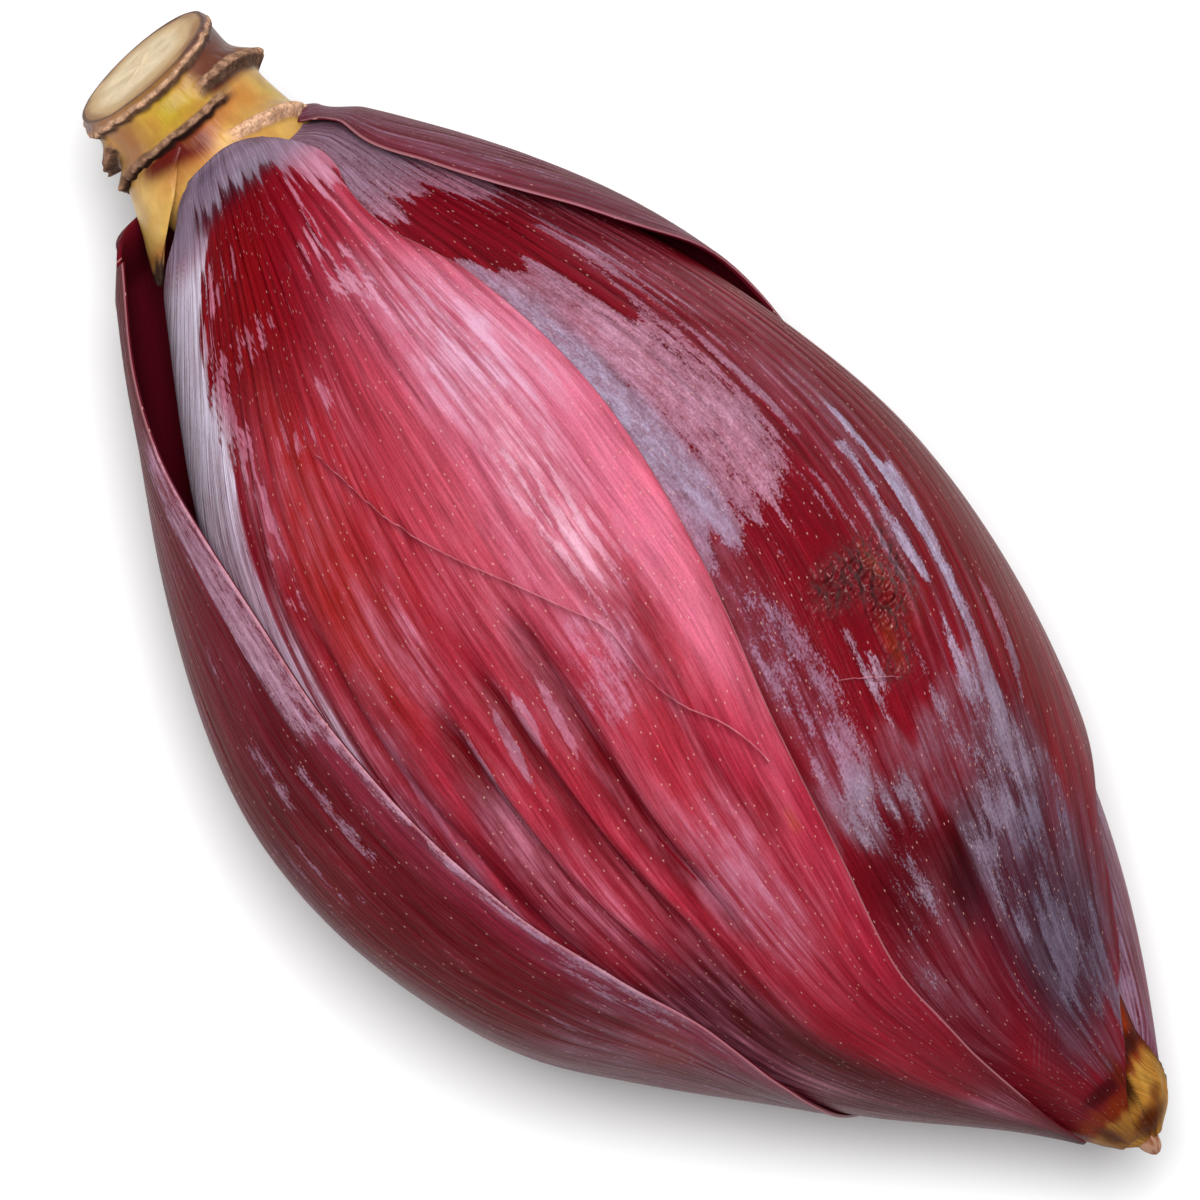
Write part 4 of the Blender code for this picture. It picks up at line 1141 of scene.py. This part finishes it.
def front_relief(u, along, turn):
    """The whole bract's folds, crease and lumps, and the finer ribs of its skin."""
    phase = front_phase(u, along, turn)
    ribbed = ribs(phase)
    strength = 0.16 * fall(along, 95, 60) + 0.09 * fall(along, 200, 40)
    strength = strength * (0.25 + 0.75 * rise(u, 0.43, 0.05))
    broad = 0.28 * rise(along, 25, 6) * fall(along, 84, 45) * rise(u, 0.43, 0.05)
    broad = broad * (groove(phase / 2, 0.10) + 0.35 * (1.0 - ribs(phase / 2)))
    body = np.zeros(turn.shape)
    for line, wide, first, last, high in FOLDS:
        run = smooth((along - first) / 12) * smooth((last - along) / 22)
        body += high * run * hill(u - curve(line)(along), wide)
    past = u - CREASE(along)
    creased = rise(along, 62, 6) * fall(along, 154, 4)
    body += creased * 0.4 * smooth((past + 0.008) / 0.008) * hill(past.clip(0.0), 0.03)
    body = body - 0.5 * creased * hill(past + 0.005, 0.005) - 0.9 * patch(u, along, 0.705, 83.5, 0.006, 2.0)
    body += 0.5 * (lumps(u * 16, along / 30, 5) - 0.5) * rise(along, 60, 40) * fall(along, 220, 30)
    return body, -strength * rise(along, 24, 3) * (1.0 - ribbed) - broad


def front_look(u, along, turn):
    """Rose flesh, dark in the fan and pink at the right margin; darker in the folds, partly its own colour
    and partly painted shade, with painted shade in the rib grooves and towards the tip; bloom as a collar at
    the root with the painted shadow of a fold in it, a band on the left, and torn scraps; short pale dashes
    of painted highlight on the rib crests; and a painted sheen of grazing light low on the left."""
    strand = front_vein(u, along, turn)
    phase = front_phase(u, along, turn)
    ribbed = ribs(phase)
    crest = smooth(1.0 - 1.7 * np.abs(2.0 * (phase % 1.0) - 1.0))
    cloud = lumps(strand * 22, along / 16, 1)
    wisp = lumps(strand * 70, along / 18, 4)
    fan = fall(along, 66, 22)
    flesh = tinted(
        "#ad2c40",
        *washes(u, along, (
            (0.95, 0.60, 38, 0.24, 21, "#8c0c1c"), (0.7, 0.80, 40, 0.10, 16, "#94142a"),
            (0.85, 0.503, 72, 0.035, 40, "#8c141f"), (0.7, 0.55, 104, 0.05, 16, "#96182a"),
            (0.95, 0.59, 80, 0.06, 27, "#b22a1e"), (0.6, 0.67, 78, 0.05, 24, "#b83238"),
            (0.8, 0.88, 80, 0.14, 36, "#da7590"), (0.7, 0.76, 80, 0.05, 26, "#c04a58"),
            (0.8, 0.965, 95, 0.035, 62, "#f08aa6"), (0.8, 0.90, 120, 0.03, 13, "#981830"),
            (0.9, 0.625, 122, 0.03, 12, "#780f20"), (0.8, 0.61, 140, 0.04, 18, "#7e1628"),
            (0.6, 0.67, 150, 0.04, 18, "#a03044"), (0.8, 0.84, 140, 0.06, 12, "#b8384a"),
            (0.8, 0.94, 145, 0.04, 12, "#b03048"),
            (0.85, 0.935, 156, 0.026, 5, "#900f20"), (0.8, 0.936, 177.5, 0.012, 2.2, "#b80f22"),
            (0.7, 0.96, 160, 0.008, 2, "#b8602a"), (0.5, 0.985, 178, 0.04, 32, "#b82848"))),
        # Painted shade: the lower part is darker where the bract curves down towards its tip.
        (0.96 * rise(along, 150, 22) * fall(u, 0.82, 0.12), "#580c18"),
        (0.7 * rise(along, 172, 28) * rise(u, 0.7, 0.2), "#86182f"),
        (0.6 * rise(along, 198, 20), "#6a1524"),
        (0.5 * fall(u, 0.48, 0.06), "#7a2440"),
        (0.85 * fall(along, 29, 5), "#42162c"))
    left_band = smooth((0.452 + 0.03 * (wisp - 0.5) + 0.0004 * (along - 40) - u) / 0.02)
    left_band = left_band * fall(along, 118, 22) * smooth((along - 22 - 18 * (u - 0.2).clip(0.0)) / 3)
    shaded = rise(along, 25, 5) * fall(along, 84, 40) * (1.0 - 0.8 * left_band)
    # Painted shade: the flesh is darkened in the grooves between the ribs.
    grooves = 0.26 * shaded * groove(phase / 2, 0.08)
    grooves = grooves + (0.10 * shaded + 0.1 * fall(along, 200, 60)) * (1.0 - ribbed)
    flesh = flesh * (1.0 - grooves)[..., None]
    # Short pale dashes along the rib crests, which are painted highlights.
    glint_strokes = smooth((lumps(strand * 150, along / 4, 9) - 0.52) / 0.12)
    body, _ = front_relief(u, along, turn)
    # The fold valleys are darker crimson, partly the flesh's own colour and partly painted shade, and the
    # raised parts are painted lighter.
    fold_valley_tint_and_shade = smooth((-body - 0.1) / 1.6)[..., None]
    flesh = flesh * (1.0 - 0.9 * fold_valley_tint_and_shade) + colour("#7c0418") * 0.9 * fold_valley_tint_and_shade
    flesh = flesh * (0.9 + 0.16 * smooth((body + 0.3) / 1.4))[..., None]
    wax = tinted(
        "#cd7f99",
        (fall(u, 0.5, 0.06) * rise(along, 24, 8), "#e8dcf0"),
        (0.8 * fall(u, 0.5, 0.06) * rise(along, 52, 24), "#d8acc6"),
        (0.9 * fall(along, 32, 6), "#998aa0"),
        # The dark slate band just below the collar's top edge is the painted shadow of a fold.
        *washes(u, along, ((0.6, 0.38, 21, 0.16, 2.2, "#6c5c74"), (0.5, 0.62, 24.5, 0.2, 1.4, "#b5a9bd"),
                           (0.8, 0.92, 58, 0.12, 30, "#dba8c2"), (0.8, 0.845, 122, 0.06, 12, "#bd7c98"),
                           (0.9, 0.875, 96, 0.04, 18, "#eab8cc"), (0.7, 0.86, 162, 0.07, 16, "#b26a82"),
                           (0.8, 0.69, 120, 0.08, 10, "#a88098"), (0.8, 0.55, 130, 0.05, 30, "#8a5f78"))),
        # The wax is painted greyer low down, part of the painted sheen of grazing light on the lower left.
        (0.6 * rise(along, 178, 30), "#8a5f70"))
    collar = 26.6 + 5 * (wisp - 0.5) + 2 * rise(u, 0.6, 0.2) + 8 * rise(u, 0.80, 0.15)
    collar = smooth((collar - along) / 4)
    bloom = 0.03 + 0.12 * cloud + 0.75 * left_band + 0.85 * collar
    # Painted highlights: the short pale dashes on the rib crests are laid in as bloom.
    bloom += 0.3 * patch(u, along, 0.475, 48, 0.03, 16) + glint_strokes * blotches(u, along, (
        (0.6, 0.53, 34, 0.12, 3.5), (0.4, 0.75, 31, 0.16, 3), (0.6, 0.60, 45, 0.11, 3.5),
        (0.6, 0.64, 60, 0.09, 5), (0.6, 0.51, 62, 0.025, 30), (0.5, 0.47, 46, 0.03, 14),
        (0.3, 0.8, 44, 0.1, 8)))
    bloom += crest * 0.32 * patch(u, along, 0.51, 62, 0.03, 22) * smooth((wisp - 0.4) / 0.2)
    shoulder = rise(u, 0.8, 0.06) * rise(along, 27, 4) * fall(along, 88, 30)
    bloom += (0.22 * crest + 0.3 * glint_strokes) * shoulder
    scuffs = smooth((lumps(strand * 190, along / 8, 8) - 0.42) / 0.2)
    bloom += scuffs * blotches(u, along, ((0.6, 0.87, 95, 0.035, 20), (0.45, 0.905, 106, 0.03, 10)))
    bloom += 0.46 * patch(u, along, 0.835, 122, 0.055, 11) * smooth((131.5 + 2 * wisp - along) / 1.5)
    bloom += blotches(u, along, ((0.75, 0.645, 120, 0.009, 8), (0.8, 0.688, 121, 0.007, 8),
                                 (0.75, 0.725, 120, 0.010, 6), (0.7, 0.757, 123, 0.006, 8)))
    bloom += 0.3 * streak(u, along, 0.562, 128, 136, 0.012, 0.0, 0.01) + 0.2 * rise(along, 212, 6)
    haze = (0.04 + 0.12 * cloud * fall(along, 190, 20)) * (1.0 - fan) + 0.75 * left_band + 0.4 * collar
    haze += blotches(u, along, (
        (0.5, 0.91, 70, 0.08, 20), (0.16, 0.88, 96, 0.09, 26), (0.25, 0.63, 96, 0.03, 14),
        (0.15, 0.55, 102, 0.03, 8),
        (0.22, 0.62, 132, 0.03, 10), (0.15, 0.84, 122, 0.06, 12), (0.45, 0.85, 162, 0.06, 15),
        (0.2, 0.66, 150, 0.03, 14), (0.3, 0.52, 128, 0.03, 26), (0.25, 0.475, 92, 0.025, 16),
        # The haze low on the left, at 182 mm, is a painted sheen of grazing light.
        (0.2, 0.80, 218, 0.16, 6), (0.3, 0.55, 182, 0.07, 20)))
    return flesh, wax, bloom, haze


def front_crease(u, along):
    """How far past the cross crease a place is, with the split in the skin closed where it fades."""
    past = CREASE(along) - u
    torn_again = rise(along, 116, 6) * fall(along, 132, 4)
    fading = 0.0012 * (1.0 - rise(along, 82, 4) * (1.0 - 0.8 * torn_again))
    return np.where((along > 64) & (along < 152), past + fading * np.sign(past), 0.1 * np.sign(past))


# Rose skin: thin, smooth and half-gloss, with its bloom mostly rubbed away
front_skin = bract_material("front_bract_skin", ragged=0.8, powdery=0.3, speck=0.6, veil=0.75)
front_bract = build_bract(
    "front_bract_piece", front_skin, 0, FRONT_LEFT, FRONT_RIGHT, FRONT_ROOT, 231.0, 300, 160,
    front_look, front_relief, arch=(0.3, 3.0), vein=front_vein, crease=front_crease)
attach(front_bract, "root")
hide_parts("front_bract")


# ---- Outer right bract -----------------------------------------------------------------------------------
# A bract that has begun to open on the far right: its lip stands off the right bract and leaves a dark gap.
OUTER_RIGHT_EDGE = curve(((22, 0.5), (45, 2.6), (64, 2.4), (82, 0.8), (100, 0.2), (190, 0.2)))


def outer_right_look(u, along, turn):
    """Maroon flesh with thin bloom, and streaks of it along the lip."""
    cloud = lumps(u * 18, along / 14, 3)
    flesh = tinted("#74202f", (0.6 * cloud, "#87293c"), (0.5 * rise(along, 110, 50), "#561522"))
    wax = tinted("#a07c95", (0.5 * cloud, "#8a6f8c"))
    bloom = 0.05 + 0.24 * cloud + 0.2 * fall(along, 36, 8)
    bloom += 0.4 * smooth((lumps(u * 120, along / 24, 7) - 0.56) / 0.14) * fall(u, 0.3, 0.1)
    return flesh, wax, bloom, 0.12 + 0.1 * cloud


outer_right_bract = build_bract(
    "outer_right_bract_piece", plum_skin, 0,
    ((22, 60), (25, 54), (30, 46), (42, 46.5), (53, 51.5), (62, 58), (75, 70), (86, 90), (100, 106),
     (130, 122), (160, 130), (190, 142)),
    ((22, 122), (60, 164), (120, 168), (160, 162), (190, 150)),
    21.0, 190.0, 150, 130, outer_right_look, plain_ribs,
    lift=lambda along, u, turn: OUTER_RIGHT_EDGE(along) * (1.0 - rise(u, 0, 0.5)))
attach(outer_right_bract, "root")
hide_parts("outer_right_bract")


# ---- Outer left bract ------------------------------------------------------------------------------------
# The outermost bract: it bellies out on the left, leaves a deep hollow beside the front bract, and carries
# the blossom where it rests on the table. Its margin is the palest line on it.
OUTER_LEFT_BULGE = curve(((17, 8.4), (45, 6.5), (62, 6.6), (105, 9.6), (145, 6.4), (160, 4.6), (176, 1.0),
                          (190, -0.8), (205, -1.2)))
OUTER_LEFT_EDGE = curve(((17, 7.0), (45, 6.8), (64, 4.2), (82, 1.2), (130, 0.9), (152, 2.4), (170, 1.8),
                         (186, -0.4), (205, -1.2)))


def outer_left_lift(along, u, turn):
    """It stands off at its margin, bulges at the side and lies close underneath."""
    edge = OUTER_LEFT_EDGE(along)
    bulge = OUTER_LEFT_BULGE(along)
    near = edge + (bulge - edge) * rise(u, 0, 0.22)
    far = bulge * (1.0 - rise(u, 0.22, 0.6)) + 0.3 * rise(u, 0.22, 0.6)
    return np.where(u < 0.22, near, far)


def outer_left_look(u, along, turn):
    """Dark maroon flesh with painted shade where it turns under, a pale band of bloom along the margin, and
    streaks of it further down.
    """
    cloud = lumps(u * 26, along / 13, 2)
    wisp = lumps(u * 90, along / 20, 5)
    flesh = tinted(
        "#661020", (0.5 * cloud, "#7c1627"),
        *washes(u, along, ((0.6, 0.12, 135, 0.08, 30, "#6e0f1c"), (0.7, 0.07, 173, 0.06, 6, "#8a2630"),
                           (0.6, 0.10, 70, 0.06, 26, "#7e2138"))),
        (0.8 * fall(u, 0.05, 0.03) * rise(along, 42, 10), "#8e2d48"),
        (0.5 * rise(along, 180, 15), "#5a2430"),
        # Painted shade: darker where the bract turns under towards the table.
        (0.5 * rise(u, 0.35, 0.2), "#501422"))
    wax = tinted("#a8849c", (fall(u, 0.07, 0.04) * fall(along, 150, 30), "#c59ab2"),
                 (0.7 * rise(along, 150, 15), "#8d7484"),
                 (0.5 * rise(u, 0.14, 0.05), "#8f7f90"))
    wide = 0.016 + 0.045 * fall(along, 104, 10) + 0.02 * rise(along, 140, 15)
    band = smooth((wide + 0.03 * (wisp - 0.5) - u) / 0.02) * rise(along, 42, 6) * fall(along, 180, 30)
    bloom = 0.03 + 0.12 * cloud + 0.46 * band
    streaks = smooth((lumps(u * 120, along / 16, 8) - 0.52) / 0.16)
    bloom += 0.45 * streaks * blotches(u, along, ((0.9, 0.11, 108, 0.08, 18), (0.7, 0.09, 70, 0.06, 20)))
    bloom += 0.3 * streaks * rise(u, 0.16, 0.05) * fall(along, 150, 20)
    bloom += 0.32 * rise(along, 154, 6) * fall(along, 190, 8) * (0.4 + streaks * 0.6)
    bloom = bloom - 0.35 * patch(u, along, 0.07, 174, 0.05, 6) + 0.2 * fall(along, 40, 8)
    haze = 0.02 + 0.25 * band + 0.14 * rise(along, 154, 10)
    return flesh, wax, bloom, haze


def outer_left_relief(u, along, turn):
    """Fine ribs and gentle lumps, none of them where it lies on the table."""
    strand = u * 70 + lumps(u * 12, along / 40, 6)
    low = rise(u, 0.5, 0.1)
    body = 0.5 * (lumps(u * 14, along / 34, 3) - 0.5) * (1.0 - low)
    return body, -0.10 * (1.0 - ribs(strand)) * fall(along, 195, 20) * (1.0 - low)


outer_left_bract = build_bract(
    "outer_left_bract_piece", plum_skin, 1,
    ((17, -68), (30, -72), (46, -66), (62, -58.5), (99, -55), (138, -48), (160, -44.5), (176, -47),
     (188, -59), (194, -68), (200, -84), (205, -112)),
    ((17, -195), (60, -212), (120, -215), (165, -200), (193, -150), (205, -118)),
    17.0, 205.0, 290, 150, outer_left_look, outer_left_relief, lift=outer_left_lift, arch=(0, 0), floor=True,
    free_corner=0.35, corner=(4.2, 0.07, 0.14))
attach(outer_left_bract, "root")
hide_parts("outer_left_bract")


# ---- Table, light and camera -----------------------------------------------------------------------------
# A plain white table top under a large soft lamp to one side and an even sky. The camera looks straight down.
TABLE_SIZE = 3.0
bpy.ops.mesh.primitive_grid_add(x_subdivisions=2, y_subdivisions=2, size=TABLE_SIZE, location=(0, 0, -0.0002))
table = bpy.context.object
table.name = "white_table"
paper, tree = new_material("matt_white_table")
shader = node(tree, "ShaderNodeBsdfPrincipled", {
    "Base Color": (0.96, 0.96, 0.96, 1.0), "Roughness": 0.9})
node(tree, "ShaderNodeOutputMaterial", (shader,))
table.data.materials.append(paper)

world = bpy.data.worlds.new("soft_sky")
bpy.context.scene.world = world
world.use_nodes = True
world.node_tree.nodes["Background"].inputs["Color"].default_value = (0.97, 0.98, 1.0, 1.0)
world.node_tree.nodes["Background"].inputs["Strength"].default_value = 0.22

LAMP_PLACE = np.array((-0.22, 0.22, 2.75))
LAMP_AIM = np.array((0.0, 0.0, 0.05))
lamp = bpy.data.lights.new("key_lamp", "AREA")
lamp.size = 1.0
lamp.energy = 92.0
lamp_back = (LAMP_PLACE - LAMP_AIM) / np.linalg.norm(LAMP_PLACE - LAMP_AIM)
lamp_side = np.cross((1.0, 0.0, 0.0), lamp_back)
lamp_side = lamp_side / np.linalg.norm(lamp_side)
lamp_axes = Matrix((np.cross(lamp_side, lamp_back), lamp_side, lamp_back)).transposed()
holder = placed("key_lamp", lamp)
holder.location = LAMP_PLACE
holder.rotation_euler = lamp_axes.to_euler()

CAMERA_HEIGHT = 3.0        # above the bud's middle line
FIELD = 0.194              # width of the view at the height of the bud's middle line
VIEW_MIDDLE = (-0.00486, 0.00618, 0.053)
VIEW_TURN = 47.184         # degrees that the view is turned from the line of the blossom
camera_data = bpy.data.cameras.new("camera")
camera_data.sensor_width = 36.0
camera_data.lens = camera_data.sensor_width * CAMERA_HEIGHT / FIELD
camera_data.clip_end = 20.0
camera = placed("camera", camera_data)
camera.location = np.array(VIEW_MIDDLE) + (0.0, 0.0, CAMERA_HEIGHT)
camera.rotation_euler = (0.0, 0.0, np.radians(VIEW_TURN))
bpy.context.scene.camera = camera
bpy.context.scene.view_settings.view_transform = "Standard"
